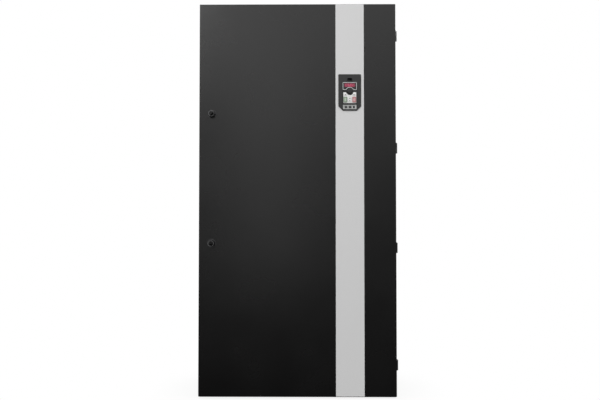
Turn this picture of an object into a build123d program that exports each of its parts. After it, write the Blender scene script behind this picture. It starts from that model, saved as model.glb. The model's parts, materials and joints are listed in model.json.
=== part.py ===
from build123d import *
import os

# Variable frequency drive in a floor-standing cabinet, in millimetres.
# +X is to the right of somebody who faces the door, the door faces -Y and +Z is up.
# The origin is on the floor, at the middle of the four floor bolts.

os.makedirs("parts", exist_ok=True)

# ---------------------------------------------------------------- driving dimensions

# Cabinet
cabinet_width = 850
cabinet_depth = 377
cabinet_height = 1700
sheet = 2
rear_return = 22
top_rim = 20

# Base frame
base_height = 60
base_sheet = 3
base_flange = 45
duct_hole_radius = 8
duct_hole_pitch = 24
duct_hole_columns = 14
duct_hole_rows = 5
floor_plate_gap = 0.5
floor_bolt_inset = 25
floor_bolt_radius = 7

# Front frame, behind the door
frame_flange = 32
frame_return = 45
lip_height = 15.5

# Door
door_depth = 25
door_return = 12
door_gap = 3
door_floor_gap = 8
door_edge_radius = 1.5
gasket_width = 12
gasket_gap = 0.3
stiffener_width = 30
stiffener_depth = 18
stiffener_inset = 60
stiffener_foot = 12
stiffener_end_gap = 20

# Light strip down the door
strip_width = 122
strip_thickness = 1.2
strip_inset = 199

# Hinges
hinge_drops = (133, 625, 1058, 1563)
hinge_offset_x = 2.5
hinge_clearance = 0.5
knuckle_radius = 7
knuckle_height = 44
knuckle_gap = 0.4
pin_radius = 3
pin_fit = 0.05
pin_head_radius = 4.5
pin_head_height = 2
pin_rise = 1
leaf = 3
leaf_arm = 4
leaf_length = 40
hinge_notch_margin = 4

# Quarter-turn latches
latch_inset = 55
latch_drops = (479, 1038)
latch_wing_angles = (42, 4)
latch_flange_radius = 15
latch_flange_thickness = 3
latch_barrel_radius = 11
latch_barrel_fit = 0.2
latch_barrel_end_gap = 1
latch_flange_edge = 1
latch_nut_width = 27
latch_nut_thickness = 6
spindle_radius = 5
spindle_fit = 0.05
knob_radius = 12.5
knob_thickness = 6
wing_length = 24
wing_width = 7
wing_height = 14
knob_edge = 1.5
cam_length = 45
cam_width = 16
cam_thickness = 3
cam_gap = 1.5
cam_hub_radius = 10
cam_nut_radius = 7

# Keypad and its tray
tray_width = 98
tray_height = 158
tray_drop = 307
tray_chamfer = 19
tray_flange = 3
tray_wall = 2
tray_edge = 1
tray_back_gap = 0.2
keypad_width = 62
keypad_height = 92
keypad_depth = 18
keypad_drop = 35
keypad_proud = 0.8
keypad_fit = 0.5
keypad_corner = 4
keypad_edge = 0.6
notch_width = 22
notch_height = 18
notch_depth = 12
tray_hole_fit = 0.5
nameplate_width = 58
nameplate_height = 18
nameplate_rise = 15
nameplate_thickness = 1
nameplate_corner = 2
display_width = 50
display_height = 15.5
display_drop = 13
display_thickness = 1.5
overlay_width = 56
overlay_height = 47
overlay_thickness = 1
overlay_corner = 2
overlay_rise = 1.5
dial_radius = 10
dial_drop = 40
dial_recess_radius = 16
dial_height = 7
dial_spindle_radius = 3
dial_gap = 0.5
dial_edge = 2
dial_hole_spare = 1
key_fit = 0.4
key_corner = 1.5
key_edge = 0.6
key_proud = 1.5
key_depth = 6
key_travel_room = 1.3
side_key_offset = 19
large_key_width = 16
large_key_height = 24
large_key_rise = 16
small_key_width = 12
small_key_height = 8
small_key_rise = 37
middle_key_width = 13
middle_key_height = 20
middle_key_rise = 16

# Rear air duct and its fans
duct_depth = 160.5
louvre_length = 110
louvre_height = 6
louvre_pitch = 18
louvre_rows = 16
louvre_centre_height = 270
phase_pitch = 270
fan_width = 172
fan_depth = 150
fan_height = 51
fan_bore_radius = 71
fan_plate = 5
fan_tip_gap = 2
fan_hub_radius = 32
fan_shaft_radius = 4
fan_blades = 7
fan_blade_angle = 38
fan_blade_thickness = 2.5
fan_blade_chord = 44
fan_blade_root = 4
fan_strut_width = 8
fan_motor_radius = 30
fan_motor_gap = 1
fan_motor_height = 12
guard_ring_width = 2.4
guard_ring_pitch = 11
guard_thickness = 3
lifting_inset_x = 50
lifting_inset_y = 45
lifting_thread_radius = 5.1
lifting_block = 28
lifting_block_height = 14
screw_radius = 2.5
screw_fit = 0.2
screw_head_radius = 4.5
screw_head_height = 2.5
screw_length = 10
rear_screw_rows = 7

# Power section
heatsink_width = 236
heatsink_height = 340
heatsink_base = 15
heatsink_rim = 10
heatsink_low = 1010
fin_depth = 140
fin_thickness = 3
fin_pitch = 9
module_width = 89
module_height = 172
module_thickness = 38
module_spacing = 104
module_rise = 60
module_pad = 4
sink_window_gap = 1
input_bar_rise = 40
module_corner = 4
module_step = 14
pad_width = 46
pad_height = 14
pad_inset = 22
pad_pitch = 22
driver_board_width = 70
driver_board_height = 78
driver_board_rise = 57
driver_coil = 26
driver_coil_depth = 16
rectifier_sink_width = 300
rectifier_sink_height = 170
rectifier_sink_low = 480
rectifier_module_width = 60
rectifier_module_height = 130
rectifier_module_thickness = 32

# Capacitor bank and its bus plates
capacitor_radius = 38
capacitor_length = 130
capacitor_pitch = 94
capacitor_columns = 6
capacitor_rows = 3
capacitor_bank_low = 705
capacitor_terminal_radius = 6
capacitor_terminal_height = 7
capacitor_terminal_spread = 32
capacitor_edge = 2
capacitor_plate_fit = 0.4
capacitor_plate_reach = 68
capacitor_plate_margin = 8
capacitor_plate_foot = 20
bus_thickness = 2
bus_insulation = 1
bus_shelf_height = 1003
bus_margin = 4

# Terminals
bar_reach = 163
bar_width = 40
bar_thickness = 6
bar_low = 355
terminal_height = 380
terminal_hole_radius = 6.5
terminal_pitch = 80
terminal_centre_x = 250
output_levels = (600, 650, 700)
dc_bar_thickness = 4
dc_bar_drop = 56
dc_bar_spacing = 24
dc_riser_width = 28
dc_riser_overlap = 22
bus_screw_radius = 8
bus_screw_height = 5
rail_low = 350
rail_height = 100
rail_length = 780
rail_reach = 93
rail_foot = 18
standoff_drop = 25
standoff_ribs = 4
standoff_groove = 4
shroud_post_drops = (14, 36)
standoff_radius = 17
sensor_width = 70
sensor_depth = 46
sensor_height = 62
sensor_low = 480
sensor_window_fit = 2
sensor_corner = 4
sensor_plug_width = 24
sensor_plug_depth = 12
sensor_plug_height = 10
shroud_reach = 190
shroud_thickness = 3
shroud_low = 402
shroud_height = 160
shroud_post_radius = 5
shroud_post_inset = 12
shroud_corner = 6
shroud_slot_length = 50
shroud_slot_width = 5
shroud_slot_pitch = 14
shroud_slots = 44
earth_bar_height = 165
earth_bar_length = 640
earth_bar_width = 25
earth_bar_thickness = 6
earth_bar_holes = 12
earth_bar_pitch = 50
earth_hole_radius = 4.2
earth_post_length = 24
earth_post_spread = 250
gland_hole_radius = 32
gland_holes = 4
gland_pitch = 170
gland_reach = 88
grommet_bore_radius = 20
grommet_lip = 5

# Control section
control_tray_low = 1395
control_tray_height = 262
control_tray_width = 620
control_tray_reach = 108
control_post_radius = 5
control_post_inset = 20
control_board_width = 330
control_board_height = 210
supply_board_width = 200
board_thickness = 1.6
board_post_height = 8
board_post_radius = 3
board_post_inset = 8
board_side_gap = 15
terminal_block_width = 48
terminal_block_height = 18
terminal_block_depth = 14
terminal_block_pitch = 52
terminal_block_count = 6
terminal_block_rise = 14
wire_hole_radius = 1.8
wire_hole_depth = 6
wire_hole_pitch = 5.8
wire_hole_count = 8
wire_hole_rise = 10

# Parts on the control board: offset across and up from its middle, width, height, depth
control_board_parts = (
    (-90, 40, 30, 30, 3),
    (-20, 40, 22, 22, 3),
    (40, 50, 60, 14, 9),
    (120, 30, 18, 60, 9),
    (-110, -20, 28, 14, 12),
    (-70, -20, 28, 14, 12),
    (-30, -20, 28, 14, 12),
    (60, -10, 40, 10, 7),
)

# Parts on the supply board: a transformer and a cooling plate as above, and round capacitors
supply_board_parts = (
    (47, 40, 50, 60, 34),
    (0, -57, 140, 6, 26),
)
supply_capacitors = ((-60, 60), (-30, 60), (0, 60), (-60, 25), (-30, 25))
supply_capacitor_radius = 12
supply_capacitor_length = 32

# DC choke in the bottom of the duct
choke_x = -150
choke_width = 240
choke_height = 220
choke_stack = 80
choke_limb = 50
choke_gap = 1

# ---------------------------------------------------------------- derived places

frame_y = -cabinet_depth / 2
frame_inside_y = frame_y + sheet
door_back_y = frame_y - door_gap
face_y = door_back_y - door_depth
door_inside_y = face_y + sheet
rear_y = cabinet_depth / 2
rear_inside_y = rear_y - sheet
duct_y = rear_inside_y - duct_depth
partition_y = duct_y - sheet
duct_middle_y = (duct_y + rear_inside_y) / 2
side_x = cabinet_width / 2
inner_x = side_x - sheet
top_inside_z = cabinet_height - sheet
floor_plate_z = base_height + sheet
frame_height = top_inside_z - base_height
frame_middle_z = (top_inside_z + base_height) / 2
opening_width = 2 * (inner_x - frame_flange)
opening_height = frame_height - 2 * frame_flange
door_height = cabinet_height - door_floor_gap
door_middle_z = (cabinet_height + door_floor_gap) / 2
lip_tip_y = frame_y - lip_height
hinge_x = side_x + hinge_offset_x
hinge_y = door_back_y + knuckle_radius + hinge_clearance
hinge_heights = [cabinet_height - drop for drop in hinge_drops]
latch_x = -side_x + latch_inset
latch_heights = [cabinet_height - drop for drop in latch_drops]
strip_x = side_x - strip_inset
strip_face_y = face_y - strip_thickness
phase_places = [-phase_pitch, 0, phase_pitch]
capacitor_plate_y = partition_y - capacitor_plate_reach
bar_y = partition_y - bar_reach
rail_face_y = partition_y - rail_reach
shroud_y = partition_y - shroud_reach
gland_y = partition_y - gland_reach
control_tray_y = partition_y - control_tray_reach


def facing(y):
    """Plane at depth y whose local axes are X and Z, and whose extrusions come forward."""
    return Plane.XZ.offset(-y)


def block(x_span, y_span, z_span, mode=Mode.ADD):
    """A rectangular block between two limits on each axis."""
    spans = (x_span, y_span, z_span)
    with Locations(tuple((low + high) / 2 for low, high in spans)):
        Box(*(high - low for low, high in spans), mode=mode)


def rod(radius, x, z, y_span, mode=Mode.ADD):
    """A round bar that lies front to back."""
    with BuildSketch(facing(y_span[1])) as section:
        with Locations((x, z)):
            Circle(radius)
    extrude(section.sketch, amount=y_span[1] - y_span[0], mode=mode)


def post(radius, x, y, z_span, mode=Mode.ADD):
    """An upright round bar."""
    with BuildSketch(Plane.XY.offset(z_span[0])) as section:
        with Locations((x, y)):
            Circle(radius)
    extrude(section.sketch, amount=z_span[1] - z_span[0], mode=mode)


# ---------------------------------------------------------------- base frame

floor_bolt_pitch_x = cabinet_width - 2 * floor_bolt_inset
floor_bolt_pitch_y = cabinet_depth - 2 * floor_bolt_inset

with BuildPart() as base_frame:
    with BuildSketch(Plane.XY):
        Rectangle(cabinet_width, cabinet_depth)
        Rectangle(
            cabinet_width - 2 * base_flange,
            cabinet_depth - 2 * base_flange,
            mode=Mode.SUBTRACT,
        )
    extrude(amount=base_height)
    block(
        (-side_x + base_sheet, side_x - base_sheet),
        (frame_y + base_sheet, rear_y - base_sheet),
        (base_sheet, base_height - base_sheet),
        Mode.SUBTRACT,
    )
    with Locations((0, 0, base_height)):
        with GridLocations(floor_bolt_pitch_x, floor_bolt_pitch_y, 2, 2):
            Hole(floor_bolt_radius, base_height)
base_frame.part.label = "base_frame"
export_step(base_frame.part, "parts/base_frame.step")


# ---------------------------------------------------------------- panels

rear_screw_heights = [
    floor_plate_z + (row + 0.5) * (top_inside_z - floor_plate_z) / rear_screw_rows
    for row in range(rear_screw_rows)
]
rear_screw_x = side_x - rear_return / 2


def side_sheet(side):
    """A side panel with its return at the rear and the duct's air inlet slots."""
    with BuildSketch(Plane.XY.offset(base_height)) as outline:
        with Locations((side * (side_x - sheet / 2), (frame_y + rear_inside_y) / 2)):
            Rectangle(sheet, rear_inside_y - frame_y)
        with Locations((side * (side_x - rear_return / 2), rear_inside_y - sheet / 2)):
            Rectangle(rear_return, sheet)
    extrude(outline.sketch, amount=frame_height)
    with BuildSketch(Plane.YZ.offset(side * side_x)) as slots:
        with Locations((duct_middle_y, louvre_centre_height)):
            with GridLocations(louvre_length, louvre_pitch, 1, louvre_rows):
                SlotOverall(louvre_length, louvre_height)
    extrude(slots.sketch, amount=-side * sheet, mode=Mode.SUBTRACT)
    for height in rear_screw_heights:
        rod(
            screw_radius + screw_fit,
            side * rear_screw_x,
            height,
            (rear_inside_y - sheet, rear_inside_y),
            Mode.SUBTRACT,
        )


def hinge_notches(x_span, y_span):
    """Cut the room that the hinge knuckles need out of a sheet beside them."""
    half_height = knuckle_height / 2 + hinge_notch_margin
    for height in hinge_heights:
        block(x_span, y_span, (height - half_height, height + half_height), Mode.SUBTRACT)


notch_back_y = hinge_y + knuckle_radius + hinge_notch_margin

with BuildPart() as side_panel_left:
    side_sheet(-1)
side_panel_left.part.label = "side_panel_left"
export_step(side_panel_left.part, "parts/side_panel_left.step")

with BuildPart() as side_panel_right:
    side_sheet(1)
    hinge_notches((inner_x, side_x), (frame_y, notch_back_y))
side_panel_right.part.label = "side_panel_right"
export_step(side_panel_right.part, "parts/side_panel_right.step")

with BuildPart() as rear_panel:
    with BuildSketch(facing(rear_y)):
        with Locations((0, frame_middle_z)):
            Rectangle(cabinet_width, frame_height)
        for height in rear_screw_heights:
            with Locations((-rear_screw_x, height), (rear_screw_x, height)):
                Circle(screw_radius + screw_fit, mode=Mode.SUBTRACT)
    extrude(amount=sheet)
rear_panel.part.label = "rear_panel"
export_step(rear_panel.part, "parts/rear_panel.step")

lifting_y_span = (frame_inside_y + frame_return + lifting_block, rear_y - lifting_inset_y)
lifting_pitch_x = cabinet_width - 2 * lifting_inset_x
lifting_pitch_y = lifting_y_span[1] - lifting_y_span[0]
lifting_middle_y = sum(lifting_y_span) / 2

with BuildPart() as top_panel:
    with BuildSketch(Plane.XY.offset(top_inside_z)):
        Rectangle(cabinet_width, cabinet_depth)
        for x in phase_places:
            with Locations((x, duct_middle_y)):
                Circle(fan_bore_radius, mode=Mode.SUBTRACT)
        with Locations((0, lifting_middle_y)):
            with GridLocations(lifting_pitch_x, lifting_pitch_y, 2, 2):
                Circle(lifting_thread_radius, mode=Mode.SUBTRACT)
    extrude(amount=sheet)
    for rim_x in (sheet / 2 - inner_x, inner_x - sheet / 2):
        block(
            (rim_x - sheet / 2, rim_x + sheet / 2),
            (frame_inside_y + frame_return, rear_inside_y - sheet),
            (top_inside_z - top_rim, top_inside_z),
        )
top_panel.part.label = "top_panel"
export_step(top_panel.part, "parts/top_panel.step")

with BuildPart() as lifting_blocks:
    with BuildSketch(Plane.XY.offset(top_inside_z - lifting_block_height)):
        with Locations((0, lifting_middle_y)):
            with GridLocations(lifting_pitch_x, lifting_pitch_y, 2, 2):
                Rectangle(lifting_block, lifting_block)
                Circle(lifting_thread_radius, mode=Mode.SUBTRACT)
    extrude(amount=lifting_block_height)
lifting_blocks.part.label = "lifting_blocks"
export_step(lifting_blocks.part, "parts/lifting_blocks.step")

with BuildPart() as front_frame:
    with BuildSketch(facing(frame_inside_y)):
        with Locations((0, frame_middle_z)):
            Rectangle(2 * inner_x, frame_height)
            Rectangle(opening_width, opening_height, mode=Mode.SUBTRACT)
    extrude(amount=sheet)
    with BuildSketch(facing(frame_inside_y)):
        with Locations((0, frame_middle_z)):
            Rectangle(2 * inner_x, frame_height)
            Rectangle(2 * (inner_x - sheet), frame_height - 2 * sheet, mode=Mode.SUBTRACT)
    extrude(amount=-frame_return)
    with BuildSketch(facing(frame_y)):
        with Locations((0, frame_middle_z)):
            Rectangle(opening_width + 2 * sheet, opening_height + 2 * sheet)
            Rectangle(opening_width, opening_height, mode=Mode.SUBTRACT)
    extrude(amount=lip_height)
    hinge_notches((inner_x - leaf_arm - leaf, inner_x), (frame_y, notch_back_y))
front_frame.part.label = "front_frame"
export_step(front_frame.part, "parts/front_frame.step")


# ---------------------------------------------------------------- floor plates and grommets

floor_plate_front_y = frame_inside_y + frame_return + floor_plate_gap
gland_places = [(index - (gland_holes - 1) / 2) * gland_pitch for index in range(gland_holes)]

with BuildPart() as gland_plate:
    with BuildSketch(Plane.XY.offset(base_height)):
        with Locations((0, (floor_plate_front_y + partition_y) / 2)):
            Rectangle(2 * inner_x, partition_y - floor_plate_front_y)
        with Locations(*[(x, gland_y) for x in gland_places]):
            Circle(gland_hole_radius, mode=Mode.SUBTRACT)
    extrude(amount=sheet)
gland_plate.part.label = "gland_plate"
export_step(gland_plate.part, "parts/gland_plate.step")

grommet_z_span = (base_height - grommet_lip, floor_plate_z + grommet_lip)
grommet_lip_radius = gland_hole_radius + grommet_lip
with BuildPart() as cable_grommets:
    for x in gland_places:
        post(grommet_lip_radius, x, gland_y, (floor_plate_z, grommet_z_span[1]))
        post(gland_hole_radius, x, gland_y, (base_height, floor_plate_z))
        post(grommet_lip_radius, x, gland_y, (grommet_z_span[0], base_height))
        post(grommet_bore_radius, x, gland_y, grommet_z_span, Mode.SUBTRACT)
cable_grommets.part.label = "cable_grommets"
export_step(cable_grommets.part, "parts/cable_grommets.step")

with BuildPart() as duct_floor:
    with BuildSketch(Plane.XY.offset(base_height)):
        with Locations((0, (partition_y + rear_inside_y - sheet) / 2)):
            Rectangle(2 * inner_x, rear_inside_y - sheet - partition_y)
        with Locations((inner_x / 2, duct_middle_y)):
            with GridLocations(duct_hole_pitch, duct_hole_pitch, duct_hole_columns, duct_hole_rows):
                Circle(duct_hole_radius, mode=Mode.SUBTRACT)
    extrude(amount=sheet)
duct_floor.part.label = "duct_floor"
export_step(duct_floor.part, "parts/duct_floor.step")


# ---------------------------------------------------------------- door

tray_x = strip_x
tray_top_z = cabinet_height - tray_drop
tray_bottom_z = tray_top_z - tray_height
tray_back_y = strip_face_y
tray_face_y = strip_face_y - tray_flange
keypad_top_z = tray_top_z - keypad_drop
keypad_bottom_z = keypad_top_z - keypad_height
keypad_middle_z = (keypad_top_z + keypad_bottom_z) / 2
keypad_face_y = tray_face_y - keypad_proud
keypad_back_y = keypad_face_y + keypad_depth
pocket_width = keypad_width + 2 * keypad_fit
pocket_height = keypad_height + 2 * keypad_fit
tub_width = pocket_width + 2 * tray_wall
tub_low = keypad_bottom_z - keypad_fit - tray_wall
tub_high = keypad_top_z + keypad_fit + notch_height + tray_wall
tub_middle_z = (tub_low + tub_high) / 2
door_window_width = tub_width + 2 * tray_hole_fit
door_window_height = tub_high - tub_low + 2 * tray_hole_fit

with BuildPart() as door_panel:
    with BuildSketch(facing(door_back_y)):
        with Locations((0, door_middle_z)):
            Rectangle(cabinet_width, door_height)
    extrude(amount=door_depth)
    fillet(door_panel.faces().sort_by(Axis.Y)[0].edges(), door_edge_radius)
    block(
        (-inner_x, inner_x),
        (door_inside_y, door_back_y - sheet),
        (door_floor_gap + sheet, top_inside_z),
        Mode.SUBTRACT,
    )
    block(
        (-side_x + door_return, side_x - door_return),
        (door_back_y - sheet, door_back_y),
        (door_floor_gap + door_return, cabinet_height - door_return),
        Mode.SUBTRACT,
    )
    hinge_notches((side_x - door_return, inner_x), (door_back_y - sheet, door_back_y))
    for height in latch_heights:
        rod(latch_barrel_radius + latch_barrel_fit, latch_x, height, (face_y, door_inside_y), Mode.SUBTRACT)
    with BuildSketch(facing(door_inside_y)):
        with Locations((tray_x, tub_middle_z)):
            Rectangle(door_window_width, door_window_height)
    extrude(amount=sheet, mode=Mode.SUBTRACT)
door_panel.part.label = "door_panel"
export_step(door_panel.part, "parts/door_panel.step")

with BuildPart() as door_strip:
    with BuildSketch(facing(face_y)):
        with Locations((strip_x, door_middle_z)):
            Rectangle(strip_width, door_height - 2 * door_edge_radius)
        with Locations((tray_x, tub_middle_z)):
            Rectangle(door_window_width, door_window_height, mode=Mode.SUBTRACT)
    extrude(amount=strip_thickness)
door_strip.part.label = "door_strip"
export_step(door_strip.part, "parts/door_strip.step")

gasket_centre_width = opening_width + sheet
gasket_centre_height = opening_height + sheet
with BuildPart() as door_gasket:
    with BuildSketch(facing(lip_tip_y - gasket_gap)):
        with Locations((0, frame_middle_z)):
            Rectangle(gasket_centre_width + gasket_width, gasket_centre_height + gasket_width)
            Rectangle(
                gasket_centre_width - gasket_width,
                gasket_centre_height - gasket_width,
                mode=Mode.SUBTRACT,
            )
    extrude(amount=lip_tip_y - gasket_gap - door_inside_y)
door_gasket.part.label = "door_gasket"
export_step(door_gasket.part, "parts/door_gasket.step")

stiffener_end_inset = 2 * frame_flange + stiffener_end_gap
stiffener_low = base_height + stiffener_end_inset
stiffener_high = top_inside_z - stiffener_end_inset
stiffener_places = (latch_x + stiffener_inset, 0, side_x - stiffener_inset - stiffener_width)
with BuildPart() as door_stiffeners:
    for x in stiffener_places:
        with BuildSketch(Plane.XY.offset(stiffener_low)):
            with Locations((x, door_inside_y + stiffener_depth / 2)):
                Rectangle(stiffener_width, stiffener_depth)
            with Locations((x, door_inside_y + stiffener_depth / 2 - sheet)):
                Rectangle(stiffener_width - 2 * sheet, stiffener_depth, mode=Mode.SUBTRACT)
            for side in (-1, 1):
                foot_x = x + side * (stiffener_width + stiffener_foot) / 2
                with Locations((foot_x, door_inside_y + sheet / 2)):
                    Rectangle(stiffener_foot, sheet)
        extrude(amount=stiffener_high - stiffener_low)
door_stiffeners.part.label = "door_stiffeners"
export_step(door_stiffeners.part, "parts/door_stiffeners.step")


# ---------------------------------------------------------------- hinges

knuckle_half = knuckle_height / 2
arm_back_y = hinge_y + knuckle_radius

with BuildPart() as hinge_cabinet_leaves:
    for height in hinge_heights:
        with BuildSketch(Plane.XY.offset(height - knuckle_half)):
            with Locations((hinge_x, hinge_y)):
                Circle(knuckle_radius)
            with Locations(((hinge_x + inner_x - sheet - leaf) / 2, arm_back_y - leaf_arm / 2)):
                Rectangle(hinge_x - inner_x + sheet + leaf, leaf_arm)
            with Locations((hinge_x, hinge_y)):
                Circle(pin_radius, mode=Mode.SUBTRACT)
        extrude(amount=knuckle_half - knuckle_gap / 2)
        block(
            (inner_x - sheet - leaf, inner_x - sheet),
            (arm_back_y - leaf_arm, arm_back_y + leaf_length),
            (height - knuckle_half, height - knuckle_gap / 2),
        )
        block(
            (inner_x - sheet - leaf, inner_x - sheet),
            (notch_back_y, arm_back_y + leaf_length),
            (height - knuckle_half, height + knuckle_half),
        )
hinge_cabinet_leaves.part.label = "hinge_cabinet_leaves"
export_step(hinge_cabinet_leaves.part, "parts/hinge_cabinet_leaves.step")

with BuildPart() as hinge_door_leaves:
    for height in hinge_heights:
        with BuildSketch(Plane.XY.offset(height + knuckle_gap / 2)):
            with Locations((hinge_x, hinge_y)):
                Circle(knuckle_radius)
            with Locations((inner_x - leaf / 2, (door_inside_y + hinge_y) / 2)):
                Rectangle(leaf, hinge_y - door_inside_y)
            with Locations((hinge_x, hinge_y)):
                Circle(pin_radius + pin_fit, mode=Mode.SUBTRACT)
        extrude(amount=knuckle_half - knuckle_gap / 2)
hinge_door_leaves.part.label = "hinge_door_leaves"
export_step(hinge_door_leaves.part, "parts/hinge_door_leaves.step")

with BuildPart() as hinge_pins:
    for height in hinge_heights:
        pin_top = height + knuckle_half + pin_rise
        post(pin_radius, hinge_x, hinge_y, (height - knuckle_half, pin_top))
        post(pin_head_radius, hinge_x, hinge_y, (pin_top, pin_top + pin_head_height))
hinge_pins.part.label = "hinge_pins"
export_step(hinge_pins.part, "parts/hinge_pins.step")


# ---------------------------------------------------------------- quarter-turn latches

latch_face_y = face_y - latch_flange_thickness
knob_face_y = latch_face_y - knob_thickness
cam_front_y = frame_inside_y + cam_gap
cam_back_y = cam_front_y + cam_thickness
barrel_back_y = cam_front_y - latch_barrel_end_gap

with BuildPart() as latch_housings:
    for height in latch_heights:
        rod(latch_flange_radius, latch_x, height, (latch_face_y, face_y))
        rod(latch_barrel_radius, latch_x, height, (face_y, barrel_back_y))
        with BuildSketch(facing(door_inside_y + latch_nut_thickness)):
            with Locations((latch_x, height)):
                RegularPolygon(latch_nut_width / 2, 6, major_radius=False)
        extrude(amount=latch_nut_thickness)
        rod(spindle_radius + spindle_fit, latch_x, height, (latch_face_y, barrel_back_y), Mode.SUBTRACT)
    flange_edges = latch_housings.faces().sort_by(Axis.Y)[:2].edges()
    fillet(flange_edges.filter_by(lambda edge: edge.radius > latch_barrel_radius), latch_flange_edge)
latch_housings.part.label = "latch_housings"
export_step(latch_housings.part, "parts/latch_housings.step")


def latch_knob(height, wing_angle):
    """Winged knob and its spindle, in front of one latch housing."""
    with BuildPart() as knob:
        rod(knob_radius, latch_x, height, (knob_face_y, latch_face_y))
        fillet(knob.faces().sort_by(Axis.Y)[0].edges(), knob_edge)
        rod(spindle_radius, latch_x, height, (latch_face_y, cam_back_y))
        with BuildSketch(facing(knob_face_y)) as wing:
            with Locations(Location((latch_x, height, 0), (0, 0, wing_angle))):
                SlotOverall(wing_length, wing_width)
        extrude(wing.sketch, amount=wing_height)
        fillet(knob.faces().sort_by(Axis.Y)[0].edges(), knob_edge)
    return knob.part


def latch_cam(height):
    """Cam on the end of one latch spindle; it hangs down when the latch is open."""
    with BuildPart() as cam:
        with BuildSketch(facing(cam_back_y)) as outline:
            with Locations((latch_x, height)):
                Circle(cam_hub_radius)
            with Locations((latch_x, height - cam_length / 2)):
                Rectangle(cam_width, cam_length)
            with Locations((latch_x, height)):
                Circle(spindle_radius + spindle_fit, mode=Mode.SUBTRACT)
        extrude(outline.sketch, amount=cam_thickness)
        with BuildSketch(facing(cam_back_y + cam_thickness)) as head:
            with Locations((latch_x, height)):
                RegularPolygon(cam_nut_radius, 6)
        extrude(head.sketch, amount=cam_thickness)
    return cam.part


for position, height, wing_angle in zip(("upper", "lower"), latch_heights, latch_wing_angles):
    knob_part = latch_knob(height, wing_angle)
    knob_part.label = f"latch_knob_{position}"
    export_step(knob_part, f"parts/latch_knob_{position}.step")
    cam_part = latch_cam(height)
    cam_part.label = f"latch_cam_{position}"
    export_step(cam_part, f"parts/latch_cam_{position}.step")


# ---------------------------------------------------------------- keypad tray

tray_middle_z = (tray_top_z + tray_bottom_z) / 2
tub_back_y = keypad_back_y + tray_back_gap
notch_middle_z = keypad_top_z + keypad_fit + notch_height / 2

with BuildPart() as keypad_tray:
    with BuildSketch(facing(tray_back_y)) as bezel:
        with Locations((tray_x, tray_middle_z)):
            Rectangle(tray_width, tray_height)
        chamfer(bezel.vertices().group_by(Axis.Y)[0], tray_chamfer)
        fillet(bezel.vertices().group_by(Axis.Y)[-1], keypad_corner)
    extrude(amount=tray_flange)
    fillet(keypad_tray.faces().sort_by(Axis.Y)[0].edges(), tray_edge)
    with BuildSketch(facing(tub_back_y + tray_wall)):
        with Locations((tray_x, tub_middle_z)):
            Rectangle(tub_width, tub_high - tub_low)
    extrude(amount=tub_back_y + tray_wall - tray_back_y)
    with BuildSketch(facing(tub_back_y)):
        with Locations((tray_x, keypad_middle_z)):
            RectangleRounded(pocket_width, pocket_height, keypad_corner + keypad_fit)
    extrude(amount=tub_back_y - tray_face_y, mode=Mode.SUBTRACT)
    with BuildSketch(facing(tray_face_y + notch_depth)):
        with Locations((tray_x, notch_middle_z - keypad_corner)):
            RectangleRounded(notch_width, notch_height + 2 * keypad_corner, keypad_corner)
    extrude(amount=notch_depth, mode=Mode.SUBTRACT)
keypad_tray.part.label = "keypad_tray"
export_step(keypad_tray.part, "parts/keypad_tray.step")

nameplate_z = tray_bottom_z + nameplate_rise
with BuildPart() as nameplate:
    with BuildSketch(facing(tray_face_y)):
        with Locations((tray_x, nameplate_z)):
            RectangleRounded(nameplate_width, nameplate_height, nameplate_corner)
    extrude(amount=nameplate_thickness)
nameplate.part.label = "nameplate"
export_step(nameplate.part, "parts/nameplate.step")


# ---------------------------------------------------------------- keypad

dial_z = keypad_top_z - dial_drop
overlay_face_y = keypad_face_y - overlay_thickness
key_face_y = overlay_face_y - key_proud
key_back_y = key_face_y + key_depth
key_pocket_y = key_back_y + key_travel_room
dial_back_y = overlay_face_y - dial_gap
dial_hole_y = keypad_face_y + key_depth + dial_hole_spare
dial_spindle_back_y = keypad_face_y + key_depth
keys = {
    "key_run": (-side_key_offset, large_key_rise, large_key_width, large_key_height),
    "key_stop": (side_key_offset, large_key_rise, large_key_width, large_key_height),
    "key_program": (-side_key_offset, small_key_rise, small_key_width, small_key_height),
    "key_escape": (side_key_offset, small_key_rise, small_key_width, small_key_height),
    "key_shift": (0, middle_key_rise, middle_key_width, middle_key_height),
}


def key_sketch(plane, key, margin=0):
    """Outline of one key, or of the hole around it when a margin is given."""
    offset_x, rise, width, height = keys[key]
    with BuildSketch(plane) as outline:
        with Locations((tray_x + offset_x, keypad_bottom_z + rise)):
            RectangleRounded(width + 2 * margin, height + 2 * margin, key_corner + margin)
    return outline.sketch


with BuildPart() as keypad_case:
    with BuildSketch(facing(keypad_back_y)):
        with Locations((tray_x, keypad_middle_z)):
            RectangleRounded(keypad_width, keypad_height, keypad_corner)
    extrude(amount=keypad_depth)
    fillet(keypad_case.faces().sort_by(Axis.Y)[0].edges(), keypad_edge)
    for key in keys:
        extrude(
            key_sketch(facing(key_pocket_y), key, key_fit),
            amount=key_pocket_y - keypad_face_y,
            mode=Mode.SUBTRACT,
        )
    with BuildSketch(facing(keypad_face_y + display_thickness)):
        with Locations((tray_x, keypad_top_z - display_drop)):
            Rectangle(display_width, display_height)
    extrude(amount=display_thickness, mode=Mode.SUBTRACT)
    rod(dial_spindle_radius + spindle_fit, tray_x, dial_z, (keypad_face_y, dial_hole_y), Mode.SUBTRACT)
keypad_case.part.label = "keypad_case"
export_step(keypad_case.part, "parts/keypad_case.step")

with BuildPart() as display_window:
    with BuildSketch(facing(keypad_face_y + display_thickness)):
        with Locations((tray_x, keypad_top_z - display_drop)):
            Rectangle(display_width, display_height)
    extrude(amount=display_thickness)
display_window.part.label = "display_window"
export_step(display_window.part, "parts/display_window.step")

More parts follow.
